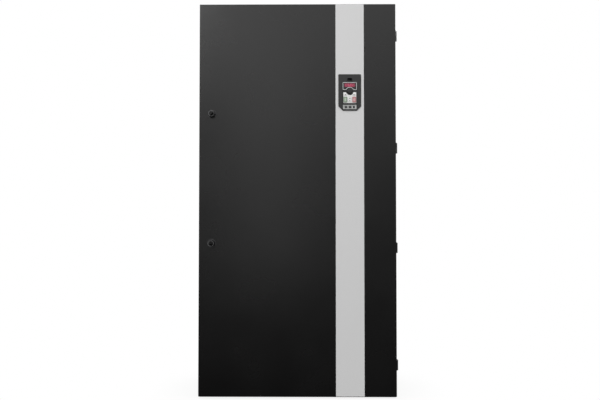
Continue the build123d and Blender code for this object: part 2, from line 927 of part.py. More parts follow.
with BuildPart() as key_surround:
    with BuildSketch(facing(keypad_face_y)):
        with Locations((tray_x, keypad_bottom_z + overlay_rise + overlay_height / 2)):
            RectangleRounded(overlay_width, overlay_height, overlay_corner)
        with Locations((tray_x, dial_z)):
            Circle(dial_recess_radius, mode=Mode.SUBTRACT)
        for key in keys:
            add(key_sketch(Plane.XY, key, key_fit), mode=Mode.SUBTRACT)
    extrude(amount=overlay_thickness)
key_surround.part.label = "key_surround"
export_step(key_surround.part, "parts/key_surround.step")

for key in keys:
    with BuildPart() as key_cap:
        extrude(key_sketch(facing(key_back_y), key), amount=key_depth)
        fillet(key_cap.faces().sort_by(Axis.Y)[0].edges(), key_edge)
    key_cap.part.label = key
    export_step(key_cap.part, f"parts/{key}.step")

with BuildPart() as dial_knob:
    rod(dial_radius, tray_x, dial_z, (dial_back_y - dial_height, dial_back_y))
    fillet(dial_knob.faces().sort_by(Axis.Y)[0].edges(), dial_edge)
    rod(dial_spindle_radius, tray_x, dial_z, (dial_back_y, dial_spindle_back_y))
dial_knob.part.label = "dial_knob"
export_step(dial_knob.part, "parts/dial_knob.step")


# ---------------------------------------------------------------- fans

fan_low = top_inside_z - fan_height
rotor_low = fan_low + fan_plate + fan_motor_height
rotor_high = top_inside_z - fan_plate
fan_places = [(x, duct_middle_y) for x in phase_places]

with BuildPart() as fan_housings:
    for x, y in fan_places:
        with BuildSketch(Plane.XY.offset(fan_low)) as outline:
            with Locations((x, y)):
                Circle(fan_width / 2)
                Rectangle(fan_width, fan_depth, mode=Mode.INTERSECT)
        extrude(outline.sketch, amount=fan_height)
        post(fan_bore_radius, x, y, (fan_low, top_inside_z), Mode.SUBTRACT)
        with BuildSketch(Plane.XY.offset(fan_low)) as struts:
            with Locations((x, y)):
                Circle(fan_motor_radius)
                with PolarLocations((fan_bore_radius + fan_hub_radius) / 2, 4, start_angle=45):
                    Rectangle(fan_bore_radius - fan_hub_radius + fan_strut_width, fan_strut_width)
        extrude(struts.sketch, amount=fan_plate)
        post(fan_motor_radius, x, y, (fan_low + fan_plate, rotor_low - fan_motor_gap))
        post(fan_shaft_radius, x, y, (rotor_low - fan_motor_gap, rotor_high - fan_motor_gap))
fan_housings.part.label = "fan_housings"
export_step(fan_housings.part, "parts/fan_housings.step")

rotor_height = rotor_high - rotor_low
fan_tip_radius = fan_bore_radius - fan_tip_gap
blade_root_radius = fan_hub_radius - fan_blade_root
for number, (x, y) in enumerate(fan_places, start=1):
    with BuildPart() as fan_rotor:
        with Locations((x, y, (rotor_low + rotor_high) / 2)):
            with PolarLocations((blade_root_radius + fan_tip_radius) / 2, fan_blades):
                Box(
                    fan_tip_radius - blade_root_radius,
                    fan_blade_chord,
                    fan_blade_thickness,
                    rotation=(fan_blade_angle, 0, 0),
                )
            Cylinder(fan_tip_radius, rotor_height, mode=Mode.INTERSECT)
            Cylinder(fan_hub_radius, rotor_height)
            Cylinder(fan_shaft_radius + spindle_fit, rotor_height, mode=Mode.SUBTRACT)
    fan_rotor.part.label = f"fan_rotor_{number}"
    export_step(fan_rotor.part, f"parts/fan_rotor_{number}.step")

guard_rings = int(fan_bore_radius // guard_ring_pitch) + 1
guard_radius = guard_rings * guard_ring_pitch
with BuildPart() as fan_guards:
    with BuildSketch(Plane.XY.offset(cabinet_height)):
        with Locations(*fan_places):
            for ring_radius in [ring * guard_ring_pitch for ring in range(guard_rings, 0, -1)]:
                Circle(ring_radius)
                Circle(ring_radius - guard_ring_width, mode=Mode.SUBTRACT)
            for angle in (0, 45, 90, 135):
                Rectangle(2 * guard_radius - guard_ring_width, 2 * guard_ring_width, rotation=angle)
    extrude(amount=guard_thickness)
fan_guards.part.label = "fan_guards"
export_step(fan_guards.part, "parts/fan_guards.step")


# ---------------------------------------------------------------- partition and heatsinks

window_inset = 2 * (heatsink_rim - sink_window_gap)
heatsink_middle_z = heatsink_low + heatsink_height / 2
rectifier_sink_x = -terminal_centre_x
rectifier_sink_middle_z = rectifier_sink_low + rectifier_sink_height / 2

with BuildPart() as partition_plate:
    with BuildSketch(facing(duct_y)):
        with Locations((0, (floor_plate_z + top_inside_z) / 2)):
            Rectangle(2 * inner_x, top_inside_z - floor_plate_z)
        for x in phase_places:
            with Locations((x, heatsink_middle_z)):
                Rectangle(heatsink_width - window_inset, heatsink_height - window_inset, mode=Mode.SUBTRACT)
        with Locations((rectifier_sink_x, rectifier_sink_middle_z)):
            Rectangle(
                rectifier_sink_width - window_inset,
                rectifier_sink_height - window_inset,
                mode=Mode.SUBTRACT,
            )
    extrude(amount=sheet)
    for rim_x in (sheet / 2 - inner_x, inner_x - sheet / 2):
        block(
            (rim_x - sheet / 2, rim_x + sheet / 2),
            (partition_y, duct_y),
            (top_inside_z - top_rim, top_inside_z),
            Mode.SUBTRACT,
        )
partition_plate.part.label = "partition_plate"
export_step(partition_plate.part, "parts/partition_plate.step")


def heatsink(x, low, width, height):
    """Base plate on the front of the partition with fins that stand in the duct."""
    count = int((width - 2 * heatsink_rim - fin_thickness) // fin_pitch) + 1
    block((x - width / 2, x + width / 2), (partition_y - heatsink_base, partition_y), (low, low + height))
    with BuildSketch(Plane.XY.offset(low + heatsink_rim)) as fins:
        with Locations((x, partition_y + fin_depth / 2)):
            with GridLocations(fin_pitch, 0, count, 1):
                Rectangle(fin_thickness, fin_depth)
    extrude(fins.sketch, amount=height - 2 * heatsink_rim)


with BuildPart() as heatsinks:
    for x in phase_places:
        heatsink(x, heatsink_low, heatsink_width, heatsink_height)
    heatsink(rectifier_sink_x, rectifier_sink_low, rectifier_sink_width, rectifier_sink_height)
heatsinks.part.label = "heatsinks"
export_step(heatsinks.part, "parts/heatsinks.step")


# ---------------------------------------------------------------- power modules and drivers

sink_face_y = partition_y - heatsink_base
module_face_y = sink_face_y - module_thickness
module_pad_y = module_face_y - module_pad
module_low = heatsink_low + module_rise
module_middle_z = module_low + module_height / 2
module_places = [x + side * module_spacing / 2 for x in phase_places for side in (-1, 1)]
rectifier_face_y = sink_face_y - rectifier_module_thickness
input_xs = [-terminal_centre_x + step * terminal_pitch for step in (-1, 0, 1)]
output_xs = [terminal_centre_x + step * terminal_pitch for step in (-1, 0, 1)]
pad_low_rise = pad_inset - module_height / 2
pad_rises = (pad_low_rise, pad_low_rise + pad_pitch, -pad_low_rise)


def power_module(x, z, width, height, thickness):
    """Semiconductor module: a flange on the heatsink with a raised housing."""
    with BuildSketch(facing(sink_face_y)) as flange:
        with Locations((x, z)):
            RectangleRounded(width, height, module_corner)
    extrude(flange.sketch, amount=thickness / 2)
    with BuildSketch(facing(sink_face_y)) as housing:
        with Locations((x, z)):
            RectangleRounded(width - module_step, height - module_step, module_corner)
    extrude(housing.sketch, amount=thickness)


with BuildPart() as power_modules:
    for x in module_places:
        power_module(x, module_middle_z, module_width, module_height, module_thickness)
        with BuildSketch(facing(module_face_y)):
            for rise in pad_rises:
                with Locations((x, module_middle_z + rise)):
                    Rectangle(pad_width, pad_height)
        extrude(amount=module_pad)
    for x in input_xs:
        power_module(
            x,
            rectifier_sink_middle_z,
            rectifier_module_width,
            rectifier_module_height,
            rectifier_module_thickness,
        )
power_modules.part.label = "power_modules"
export_step(power_modules.part, "parts/power_modules.step")


# ---------------------------------------------------------------- capacitor bank

bank_width = capacitor_columns * capacitor_pitch
bank_height = capacitor_rows * capacitor_pitch
bank_middle_z = capacitor_bank_low + bank_height / 2
capacitor_front_y = partition_y - capacitor_length
terminal_tip_y = capacitor_front_y - capacitor_terminal_height

with BuildPart() as dc_link_capacitors:
    with BuildSketch(facing(partition_y)):
        with Locations((0, bank_middle_z)):
            with GridLocations(capacitor_pitch, capacitor_pitch, capacitor_columns, capacitor_rows):
                Circle(capacitor_radius)
    extrude(amount=capacitor_length)
    fillet(dc_link_capacitors.faces().filter_by(Axis.Y).edges(), capacitor_edge)
    with BuildSketch(facing(capacitor_front_y)):
        for shift in (-capacitor_terminal_spread / 2, capacitor_terminal_spread / 2):
            with Locations((shift, bank_middle_z)):
                with GridLocations(capacitor_pitch, capacitor_pitch, capacitor_columns, capacitor_rows):
                    Circle(capacitor_terminal_radius)
    extrude(amount=capacitor_terminal_height)
dc_link_capacitors.part.label = "dc_link_capacitors"
export_step(dc_link_capacitors.part, "parts/dc_link_capacitors.step")

bracket_half = bank_width / 2 + capacitor_plate_margin
with BuildPart() as capacitor_bracket:
    with BuildSketch(Plane.XY.offset(capacitor_bank_low)):
        with Locations((0, capacitor_plate_y + sheet / 2)):
            Rectangle(2 * bracket_half, sheet)
        for side in (-1, 1):
            with Locations((side * (bracket_half - sheet / 2), (capacitor_plate_y + partition_y) / 2)):
                Rectangle(sheet, partition_y - capacitor_plate_y)
            with Locations((side * (bracket_half + capacitor_plate_foot / 2), partition_y - sheet / 2)):
                Rectangle(capacitor_plate_foot, sheet)
    extrude(amount=bank_height)
    with BuildSketch(facing(capacitor_plate_y + sheet)):
        with Locations((0, bank_middle_z)):
            with GridLocations(capacitor_pitch, capacitor_pitch, capacitor_columns, capacitor_rows):
                Circle(capacitor_radius + capacitor_plate_fit)
    extrude(amount=sheet, mode=Mode.SUBTRACT)
capacitor_bracket.part.label = "capacitor_bracket"
export_step(capacitor_bracket.part, "parts/capacitor_bracket.step")


def stepped_bus(front_y, shelf_z, back_y, thickness, top_z):
    """Plate in front of the capacitors that steps back and runs up over the modules."""
    half = phase_pitch + module_spacing / 2 + module_width / 2
    with BuildPart() as plate:
        with BuildSketch(Plane.YZ.offset(-half)) as profile:
            with Locations((front_y + thickness / 2, (capacitor_bank_low + shelf_z) / 2)):
                Rectangle(thickness, shelf_z - capacitor_bank_low)
            with Locations(((front_y + back_y) / 2 + thickness / 2, shelf_z - thickness / 2)):
                Rectangle(back_y - front_y + thickness, thickness)
            with Locations((back_y + thickness / 2, (shelf_z - thickness + top_z) / 2)):
                Rectangle(thickness, top_z - shelf_z + thickness)
        extrude(profile.sketch, amount=2 * half)
    return plate.part


negative_y = terminal_tip_y - bus_thickness
insulation_y = negative_y - bus_insulation
positive_y = insulation_y - bus_thickness
negative_back_y = module_pad_y - bus_thickness
insulation_back_y = negative_back_y - bus_insulation
positive_back_y = insulation_back_y - bus_thickness
bus_top_height = module_middle_z + pad_rises[1] + pad_height / 2
bus_parts = {
    "dc_bus_negative": stepped_bus(
        negative_y,
        bus_shelf_height,
        negative_back_y,
        bus_thickness,
        bus_top_height,
    ),
    "dc_bus_insulation": stepped_bus(
        insulation_y,
        bus_shelf_height + bus_insulation,
        insulation_back_y,
        bus_insulation,
        bus_top_height + bus_margin,
    ),
    "dc_bus_positive": stepped_bus(
        positive_y,
        bus_shelf_height + bus_insulation + bus_thickness,
        positive_back_y,
        bus_thickness,
        bus_top_height,
    ),
}
for node, bus_part in bus_parts.items():
    bus_part.label = node
    export_step(bus_part, f"parts/{node}.step")


# ---------------------------------------------------------------- power bars and terminals

bar_back_y = bar_y + bar_thickness
output_pad_z = module_middle_z + pad_rises[2]
output_top = output_pad_z + pad_height / 2 + bar_thickness
input_top = rectifier_sink_middle_z - rectifier_module_height / 2 + input_bar_rise

with BuildPart() as output_bars:
    for start_x, end_x, level in zip(phase_places, output_xs, output_levels):
        with BuildSketch(facing(bar_back_y)):
            with Locations((start_x, (level + output_top) / 2)):
                Rectangle(bar_width, output_top - level)
            with Locations(((start_x + end_x) / 2, level + bar_width / 2)):
                Rectangle(end_x - start_x + bar_width, bar_width)
            with Locations((end_x, (level + bar_width + bar_low) / 2)):
                Rectangle(bar_width, level + bar_width - bar_low)
            with Locations((end_x, terminal_height)):
                Circle(terminal_hole_radius, mode=Mode.SUBTRACT)
        extrude(amount=bar_thickness)
        block(
            (start_x - bar_width / 2, start_x + bar_width / 2),
            (bar_y, module_pad_y),
            (output_top - bar_thickness, output_top),
        )
        block(
            (start_x - module_spacing / 2 - bar_width / 2, start_x + module_spacing / 2 + bar_width / 2),
            (module_pad_y - bar_thickness, module_pad_y),
            (output_pad_z - pad_height / 2, output_top),
        )
output_bars.part.label = "output_bars"
export_step(output_bars.part, "parts/output_bars.step")

dc_bar_low = rectifier_sink_middle_z + rectifier_module_height / 2 - dc_bar_drop
riser_top = capacitor_bank_low + dc_riser_overlap
with BuildPart() as input_bars:
    for x in input_xs:
        with BuildSketch(facing(bar_back_y)):
            with Locations((x, (bar_low + input_top) / 2)):
                Rectangle(bar_width, input_top - bar_low)
            with Locations((x, terminal_height)):
                Circle(terminal_hole_radius, mode=Mode.SUBTRACT)
        extrude(amount=bar_thickness)
        block(
            (x - bar_width / 2, x + bar_width / 2),
            (bar_y, rectifier_face_y),
            (input_top - bar_thickness, input_top),
        )
        block(
            (x - bar_width / 2, x + bar_width / 2),
            (rectifier_face_y - bar_thickness, rectifier_face_y),
            (input_top - bar_width, input_top),
        )
    for riser_x, low, riser_y in (
        (input_xs[0], dc_bar_low, negative_y + bus_thickness),
        (input_xs[1], dc_bar_low + dc_bar_spacing, positive_y - dc_bar_thickness),
    ):
        block(
            (input_xs[0] - bar_width / 2, input_xs[2] + bar_width / 2),
            (rectifier_face_y - dc_bar_thickness, rectifier_face_y),
            (low, low + pad_height),
        )
        block(
            (riser_x - dc_riser_width / 2, riser_x + dc_riser_width / 2),
            (riser_y, rectifier_face_y - dc_bar_thickness),
            (low, low + dc_bar_thickness),
        )
        block(
            (riser_x - dc_riser_width / 2, riser_x + dc_riser_width / 2),
            (riser_y, riser_y + dc_bar_thickness),
            (low, riser_top),
        )
input_bars.part.label = "input_bars"
export_step(input_bars.part, "parts/input_bars.step")

with BuildPart() as screws:
    for height in rear_screw_heights:
        for x in (-rear_screw_x, rear_screw_x):
            rod(screw_head_radius, x, height, (rear_y, rear_y + screw_head_height))
            rod(screw_radius, x, height, (rear_y - screw_length, rear_y))
    with BuildSketch(facing(positive_y)):
        for shift in (-capacitor_terminal_spread / 2, capacitor_terminal_spread / 2):
            with Locations((shift, bank_middle_z)):
                with GridLocations(capacitor_pitch, capacitor_pitch, capacitor_columns, capacitor_rows):
                    RegularPolygon(bus_screw_radius, 6)
    extrude(amount=bus_screw_height)
screws.part.label = "screws"
export_step(screws.part, "parts/screws.step")

rail_high = rail_low + rail_height
standoff_z = rail_high - standoff_drop
with BuildPart() as terminal_rail:
    with BuildSketch(Plane.YZ.offset(-rail_length / 2)):
        with Locations((rail_face_y + sheet / 2, (rail_low + rail_high) / 2)):
            Rectangle(sheet, rail_height)
        for web_z, foot_z in (
            (rail_high - sheet / 2, rail_high + rail_foot / 2),
            (rail_low + sheet / 2, rail_low - rail_foot / 2),
        ):
            with Locations(((rail_face_y + partition_y) / 2, web_z)):
                Rectangle(partition_y - rail_face_y, sheet)
            with Locations((partition_y - sheet / 2, foot_z)):
                Rectangle(sheet, rail_foot)
    extrude(amount=rail_length)
terminal_rail.part.label = "terminal_rail"
export_step(terminal_rail.part, "parts/terminal_rail.step")

bar_middle_y = bar_y + bar_thickness / 2
sensor_front_y = bar_middle_y - sensor_depth / 2
sensor_high = sensor_low + sensor_height
with BuildPart() as current_sensors:
    for x in output_xs:
        with BuildSketch(Plane.XY.offset(sensor_low)):
            with Locations((x, bar_middle_y)):
                RectangleRounded(sensor_width, sensor_depth, sensor_corner)
                Rectangle(bar_width + 2 * sensor_window_fit, bar_thickness, mode=Mode.SUBTRACT)
        extrude(amount=sensor_height)
        block(
            (x - sensor_plug_width / 2, x + sensor_plug_width / 2),
            (sensor_front_y, sensor_front_y + sensor_plug_depth),
            (sensor_high, sensor_high + sensor_plug_height),
        )
current_sensors.part.label = "current_sensors"
export_step(current_sensors.part, "parts/current_sensors.step")

shroud_back_y = shroud_y + shroud_thickness
shroud_post_x = rail_length / 2 - shroud_post_inset
with BuildPart() as terminal_shroud:
    with BuildSketch(facing(shroud_back_y)):
        with Locations((0, shroud_low + shroud_height / 2)):
            RectangleRounded(rail_length, shroud_height, shroud_corner)
            with GridLocations(shroud_slot_pitch, 0, shroud_slots, 1):
                SlotOverall(shroud_slot_length, shroud_slot_width, rotation=90, mode=Mode.SUBTRACT)
    extrude(amount=shroud_thickness)
terminal_shroud.part.label = "terminal_shroud"
export_step(terminal_shroud.part, "parts/terminal_shroud.step")

earth_back_y = partition_y - earth_post_length
standoff_rib_pitch = (rail_face_y - bar_back_y) / standoff_ribs
with BuildPart() as earth_bar:
    with BuildSketch(facing(earth_back_y)):
        with Locations((0, earth_bar_height)):
            Rectangle(earth_bar_length, earth_bar_width)
            with GridLocations(earth_bar_pitch, 0, earth_bar_holes, 1):
                Circle(earth_hole_radius, mode=Mode.SUBTRACT)
    extrude(amount=earth_bar_thickness)
earth_bar.part.label = "earth_bar"
export_step(earth_bar.part, "parts/earth_bar.step")

with BuildPart() as standoffs:
    for x in input_xs + output_xs:
        for rib in range(standoff_ribs):
            rib_y = rail_face_y - rib * standoff_rib_pitch
            rod(standoff_radius, x, standoff_z, (rib_y - standoff_rib_pitch / 2, rib_y))
            rod(
                standoff_radius - standoff_groove,
                x,
                standoff_z,
                (rib_y - standoff_rib_pitch, rib_y - standoff_rib_pitch / 2),
            )
    for x in (-shroud_post_x, shroud_post_x):
        for drop in shroud_post_drops:
            rod(shroud_post_radius, x, rail_high - drop, (shroud_back_y, rail_face_y))
    for x in (-earth_post_spread, 0, earth_post_spread):
        rod(earth_bar_width / 2, x, earth_bar_height, (earth_back_y, partition_y))
standoffs.part.label = "standoffs"
export_step(standoffs.part, "parts/standoffs.step")


# ---------------------------------------------------------------- control section

control_tray_middle_z = control_tray_low + control_tray_height / 2
control_tray_back_y = control_tray_y + sheet
control_tray_high = control_tray_low + control_tray_height
control_post_x = control_tray_width / 2 - control_post_inset
board_back_y = control_tray_y - board_post_height
board_face_y = board_back_y - board_thickness
control_board_x = -control_tray_width / 2 + board_side_gap + control_board_width / 2
supply_board_x = control_tray_width / 2 - board_side_gap - supply_board_width / 2

with BuildPart() as control_tray:
    block(
        (-control_tray_width / 2, control_tray_width / 2),
        (control_tray_y, control_tray_back_y),
        (control_tray_low, control_tray_high),
    )
    for z in (control_tray_low, control_tray_high - sheet):
        block(
            (-control_tray_width / 2, control_tray_width / 2),
            (control_tray_y, control_tray_y + rail_foot),
            (z, z + sheet),
        )
    for x in (-control_post_x, control_post_x):
        for z in (control_tray_low + control_post_inset, control_tray_high - control_post_inset):
            rod(control_post_radius, x, z, (control_tray_back_y, partition_y))
control_tray.part.label = "control_tray"
export_step(control_tray.part, "parts/control_tray.step")


def circuit_board(x, z, width, height, back_y, post_length):
    """Board on four corner posts."""
    block(
        (x - width / 2, x + width / 2),
        (back_y - board_thickness, back_y),
        (z - height / 2, z + height / 2),
    )
    for side in (-1, 1):
        for end in (-1, 1):
            rod(
                board_post_radius,
                x + side * (width / 2 - board_post_inset),
                z + end * (height / 2 - board_post_inset),
                (back_y, back_y + post_length),
            )


driver_board_z = module_low + driver_board_rise + driver_board_height / 2
with BuildPart() as circuit_boards:
    for x, width in ((control_board_x, control_board_width), (supply_board_x, supply_board_width)):
        circuit_board(
            x,
            control_tray_middle_z,
            width,
            control_board_height,
            board_back_y,
            board_post_height,
        )
    for x in module_places:
        circuit_board(
            x,
            driver_board_z,
            driver_board_width,
            driver_board_height,
            module_pad_y,
            module_pad,
        )
circuit_boards.part.label = "circuit_boards"
export_step(circuit_boards.part, "parts/circuit_boards.step")

board_low = control_tray_middle_z - control_board_height / 2
with BuildPart() as control_terminals:
    with BuildSketch(facing(board_face_y)):
        with Locations((control_board_x, board_low + terminal_block_rise)):
            with GridLocations(terminal_block_pitch, 0, terminal_block_count, 1):
                Rectangle(terminal_block_width, terminal_block_height)
    extrude(amount=terminal_block_depth)
    with BuildSketch(facing(board_face_y - terminal_block_depth)):
        with Locations((control_board_x, board_low + wire_hole_rise)):
            with GridLocations(terminal_block_pitch, 0, terminal_block_count, 1):
                with GridLocations(wire_hole_pitch, 0, wire_hole_count, 1):
                    Circle(wire_hole_radius)
    extrude(amount=-wire_hole_depth, mode=Mode.SUBTRACT)
control_terminals.part.label = "control_terminals"
export_step(control_terminals.part, "parts/control_terminals.step")

coil_front_y = module_pad_y - board_thickness - driver_coil_depth
with BuildPart() as board_parts:
    for board_x, parts in ((control_board_x, control_board_parts), (supply_board_x, supply_board_parts)):
        for across, up, width, height, depth in parts:
            block(
                (board_x + across - width / 2, board_x + across + width / 2),
                (board_face_y - depth, board_face_y),
                (control_tray_middle_z + up - height / 2, control_tray_middle_z + up + height / 2),
            )
    for across, up in supply_capacitors:
        rod(
            supply_capacitor_radius,
            supply_board_x + across,
            control_tray_middle_z + up,
            (board_face_y - supply_capacitor_length, board_face_y),
        )
    for x in module_places:
        block(
            (x - driver_coil / 2, x + driver_coil / 2),
            (coil_front_y, module_pad_y - board_thickness),
            (driver_board_z - driver_coil / 2, driver_board_z + driver_coil / 2),
        )
board_parts.part.label = "board_parts"
export_step(board_parts.part, "parts/board_parts.step")


# ---------------------------------------------------------------- DC choke

choke_window_width = (choke_width - 3 * choke_limb) / 2
choke_window_height = choke_height - 2 * choke_limb
choke_middle_z = floor_plate_z + choke_height / 2
choke_limb_xs = [choke_x + step * (choke_limb + choke_window_width) for step in (-1, 0, 1)]
coil_wall = (choke_window_width - 3 * choke_gap) / 2

with BuildPart() as choke_core:
    with BuildSketch(facing(duct_middle_y + choke_stack / 2)):
        with Locations((choke_x, choke_middle_z)):
            Rectangle(choke_width, choke_height)
            with GridLocations(choke_limb + choke_window_width, 0, 2, 1):
                Rectangle(choke_window_width, choke_window_height, mode=Mode.SUBTRACT)
    extrude(amount=choke_stack)
choke_core.part.label = "choke_core"
export_step(choke_core.part, "parts/choke_core.step")

with BuildPart() as choke_coils:
    with BuildSketch(Plane.XY.offset(floor_plate_z + choke_limb + choke_gap)):
        for x in choke_limb_xs:
            with Locations((x, duct_middle_y)):
                RectangleRounded(
                    choke_limb + 2 * (choke_gap + coil_wall),
                    choke_stack + 2 * (choke_gap + coil_wall),
                    coil_wall / 2,
                )
                Rectangle(choke_limb + 2 * choke_gap, choke_stack + 2 * choke_gap, mode=Mode.SUBTRACT)
    extrude(amount=choke_window_height - 2 * choke_gap)
choke_coils.part.label = "choke_coils"
export_step(choke_coils.part, "parts/choke_coils.step")
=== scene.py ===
import json
import math

import bmesh
import bpy
from mathutils import Matrix, Vector

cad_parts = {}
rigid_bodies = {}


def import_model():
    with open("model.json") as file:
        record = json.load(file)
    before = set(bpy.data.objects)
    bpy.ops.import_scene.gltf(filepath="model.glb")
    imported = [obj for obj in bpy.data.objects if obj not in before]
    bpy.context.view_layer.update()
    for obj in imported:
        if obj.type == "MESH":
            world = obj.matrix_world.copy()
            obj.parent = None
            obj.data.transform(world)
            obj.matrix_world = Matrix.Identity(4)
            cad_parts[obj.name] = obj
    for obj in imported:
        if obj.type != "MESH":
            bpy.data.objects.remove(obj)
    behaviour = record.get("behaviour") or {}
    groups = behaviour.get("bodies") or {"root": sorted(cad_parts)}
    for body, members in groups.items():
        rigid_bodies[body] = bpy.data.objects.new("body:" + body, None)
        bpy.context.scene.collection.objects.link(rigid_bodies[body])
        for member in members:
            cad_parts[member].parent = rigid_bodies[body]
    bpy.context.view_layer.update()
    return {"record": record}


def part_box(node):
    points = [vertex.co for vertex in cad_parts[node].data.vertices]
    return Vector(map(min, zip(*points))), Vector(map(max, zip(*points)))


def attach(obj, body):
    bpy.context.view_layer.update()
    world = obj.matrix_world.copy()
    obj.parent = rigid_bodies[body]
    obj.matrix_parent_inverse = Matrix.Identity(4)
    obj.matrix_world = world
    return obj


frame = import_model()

DOOR_FACE_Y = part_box("door_panel")[0].y


# ---------------------------------------------------------------- finishes

class Finish:
    """A material under construction, patterned on the object's own coordinates."""

    def __init__(self, name, color, roughness, metallic=0.0):
        self.material = bpy.data.materials.new(name)
        self.material.use_nodes = True
        tree = self.material.node_tree
        self.nodes = tree.nodes
        self.links = tree.links
        self.shader = self.nodes["Principled BSDF"]
        self.shader.inputs["Base Color"].default_value = (*color, 1)
        self.shader.inputs["Roughness"].default_value = roughness
        self.shader.inputs["Metallic"].default_value = metallic
        self.place = self.nodes.new("ShaderNodeTexCoord").outputs["Object"]
        self.height = None

    def stretched(self, stretch):
        """Coordinates drawn out along chosen axes."""
        mapping = self.nodes.new("ShaderNodeMapping")
        mapping.inputs["Scale"].default_value = stretch
        self.links.new(self.place, mapping.inputs["Vector"])
        return mapping.outputs["Vector"]

    def noise(self, scale, detail=2.0, stretch=(1, 1, 1)):
        """Cloudy pattern, scale in features per metre."""
        texture = self.nodes.new("ShaderNodeTexNoise")
        texture.inputs["Scale"].default_value = scale
        texture.inputs["Detail"].default_value = detail
        self.links.new(self.stretched(stretch), texture.inputs["Vector"])
        return texture.outputs["Fac"]

    def cells(self, scale, stretch=(1, 1, 1)):
        """Random value for each crystal-like cell."""
        texture = self.nodes.new("ShaderNodeTexVoronoi")
        texture.inputs["Scale"].default_value = scale
        self.links.new(self.stretched(stretch), texture.inputs["Vector"])
        channel = self.nodes.new("ShaderNodeSeparateColor")
        self.links.new(texture.outputs["Color"], channel.inputs["Color"])
        return channel.outputs["Red"]

    def lines(self, scale, axis, distortion=0.0):
        """Even ridges that follow each other along one axis."""
        texture = self.nodes.new("ShaderNodeTexWave")
        texture.bands_direction = axis
        texture.inputs["Scale"].default_value = scale
        texture.inputs["Distortion"].default_value = distortion
        self.links.new(self.place, texture.inputs["Vector"])
        return texture.outputs["Fac"]

    def color_between(self, value, dark, light, start=0.3, end=0.7):
        """Base colour that runs from dark to light with a pattern."""
        ramp = self.nodes.new("ShaderNodeValToRGB")
        ramp.color_ramp.elements[0].position = start
        ramp.color_ramp.elements[0].color = (*dark, 1)
        ramp.color_ramp.elements[1].position = end
        ramp.color_ramp.elements[1].color = (*light, 1)
        self.links.new(value, ramp.inputs["Fac"])
        self.links.new(ramp.outputs["Color"], self.shader.inputs["Base Color"])

    def roughness_between(self, value, smooth, rough):
        """Roughness that varies with a pattern."""
        span = self.nodes.new("ShaderNodeMapRange")
        span.inputs["From Min"].default_value = 0.3
        span.inputs["From Max"].default_value = 0.7
        span.inputs["To Min"].default_value = smooth
        span.inputs["To Max"].default_value = rough
        self.links.new(value, span.inputs["Value"])
        self.links.new(span.outputs["Result"], self.shader.inputs["Roughness"])

    def bump(self, value, distance, strength=1.0):
        """Surface relief, distance in metres; several calls add up."""
        relief = self.nodes.new("ShaderNodeBump")
        relief.inputs["Distance"].default_value = distance
        relief.inputs["Strength"].default_value = strength
        self.links.new(value, relief.inputs["Height"])
        if self.height:
            self.links.new(self.height, relief.inputs["Normal"])
        self.height = relief.outputs["Normal"]
        self.links.new(self.height, self.shader.inputs["Normal"])


def powder_coat(name, color, roughness=0.26):
    """Fine-texture powder coat: orange peel, faint mottling and a slightly uneven gloss."""
    finish = Finish(name, color, roughness)
    finish.color_between(finish.noise(6, 4), [c * 0.85 for c in color], [c * 1.2 for c in color])
    finish.roughness_between(finish.noise(4, 3), roughness - 0.03, roughness + 0.03)
    finish.bump(finish.noise(650, 2), 0.00012, 0.35)
    finish.bump(finish.noise(2400, 1), 0.00004, 0.3)
    return finish


def satin_paint(name, color, roughness=0.4):
    """Smooth satin paint with fine metallic flake."""
    finish = Finish(name, color, roughness)
    dark, light = [c * 0.95 for c in color], [min(c * 1.05, 1) for c in color]
    finish.color_between(finish.cells(3000), dark, light, 0, 1)
    finish.roughness_between(finish.noise(5, 3), roughness - 0.04, roughness + 0.05)
    finish.bump(finish.noise(900, 2), 0.00005, 0.3)
    return finish


def moulded_plastic(name, color, roughness=0.5, grain=2200):
    """Spark-textured moulded plastic."""
    finish = Finish(name, color, roughness)
    finish.color_between(finish.noise(60, 4), [c * 0.88 for c in color], [min(c * 1.1, 1) for c in color])
    finish.roughness_between(finish.noise(120, 2), roughness - 0.06, roughness + 0.06)
    finish.bump(finish.noise(grain, 2), 0.00006, 0.5)
    return finish


def galvanised(name, color=(0.56, 0.57, 0.58)):
    """Zinc-coated sheet: soft crystal spangle with rolled streaks."""
    finish = Finish(name, color, 0.38, 1.0)
    dark, light = [c * 0.8 for c in color], [min(c * 1.12, 1) for c in color]
    finish.color_between(finish.cells(70), dark, light, 0, 1)
    finish.roughness_between(finish.cells(90), 0.3, 0.46)
    finish.bump(finish.noise(300, 3, (1, 1, 0.05)), 0.00003, 0.4)
    return finish


def bright_metal(name, color, roughness=0.28, stretch=(1, 1, 0.04)):
    """Plated or rolled metal with fine streaks along one way."""
    finish = Finish(name, color, roughness, 1.0)
    finish.color_between(finish.noise(25, 4), [c * 0.82 for c in color], color)
    finish.roughness_between(finish.noise(700, 3, stretch), roughness - 0.08, roughness + 0.12)
    finish.bump(finish.noise(1200, 2, stretch), 0.00002, 0.5)
    return finish


def brushed_aluminium(name):
    """Extruded aluminium with die lines along its length."""
    return bright_metal(name, (0.72, 0.73, 0.74), 0.34, (1, 1, 0.02))


def copper_bar(name):
    """Rolled copper, slightly tarnished."""
    finish = bright_metal(name, (0.78, 0.36, 0.2), 0.3, (0.05, 1, 1))
    finish.color_between(finish.noise(14, 5), (0.5, 0.2, 0.1), (0.82, 0.4, 0.23))
    return finish


def tinned_bar(name):
    """Tinned copper bar: pale, warm and a little cloudy."""
    finish = bright_metal(name, (0.66, 0.62, 0.56), 0.34, (1, 1, 0.05))
    finish.color_between(finish.noise(30, 5), (0.5, 0.46, 0.41), (0.72, 0.69, 0.64))
    return finish


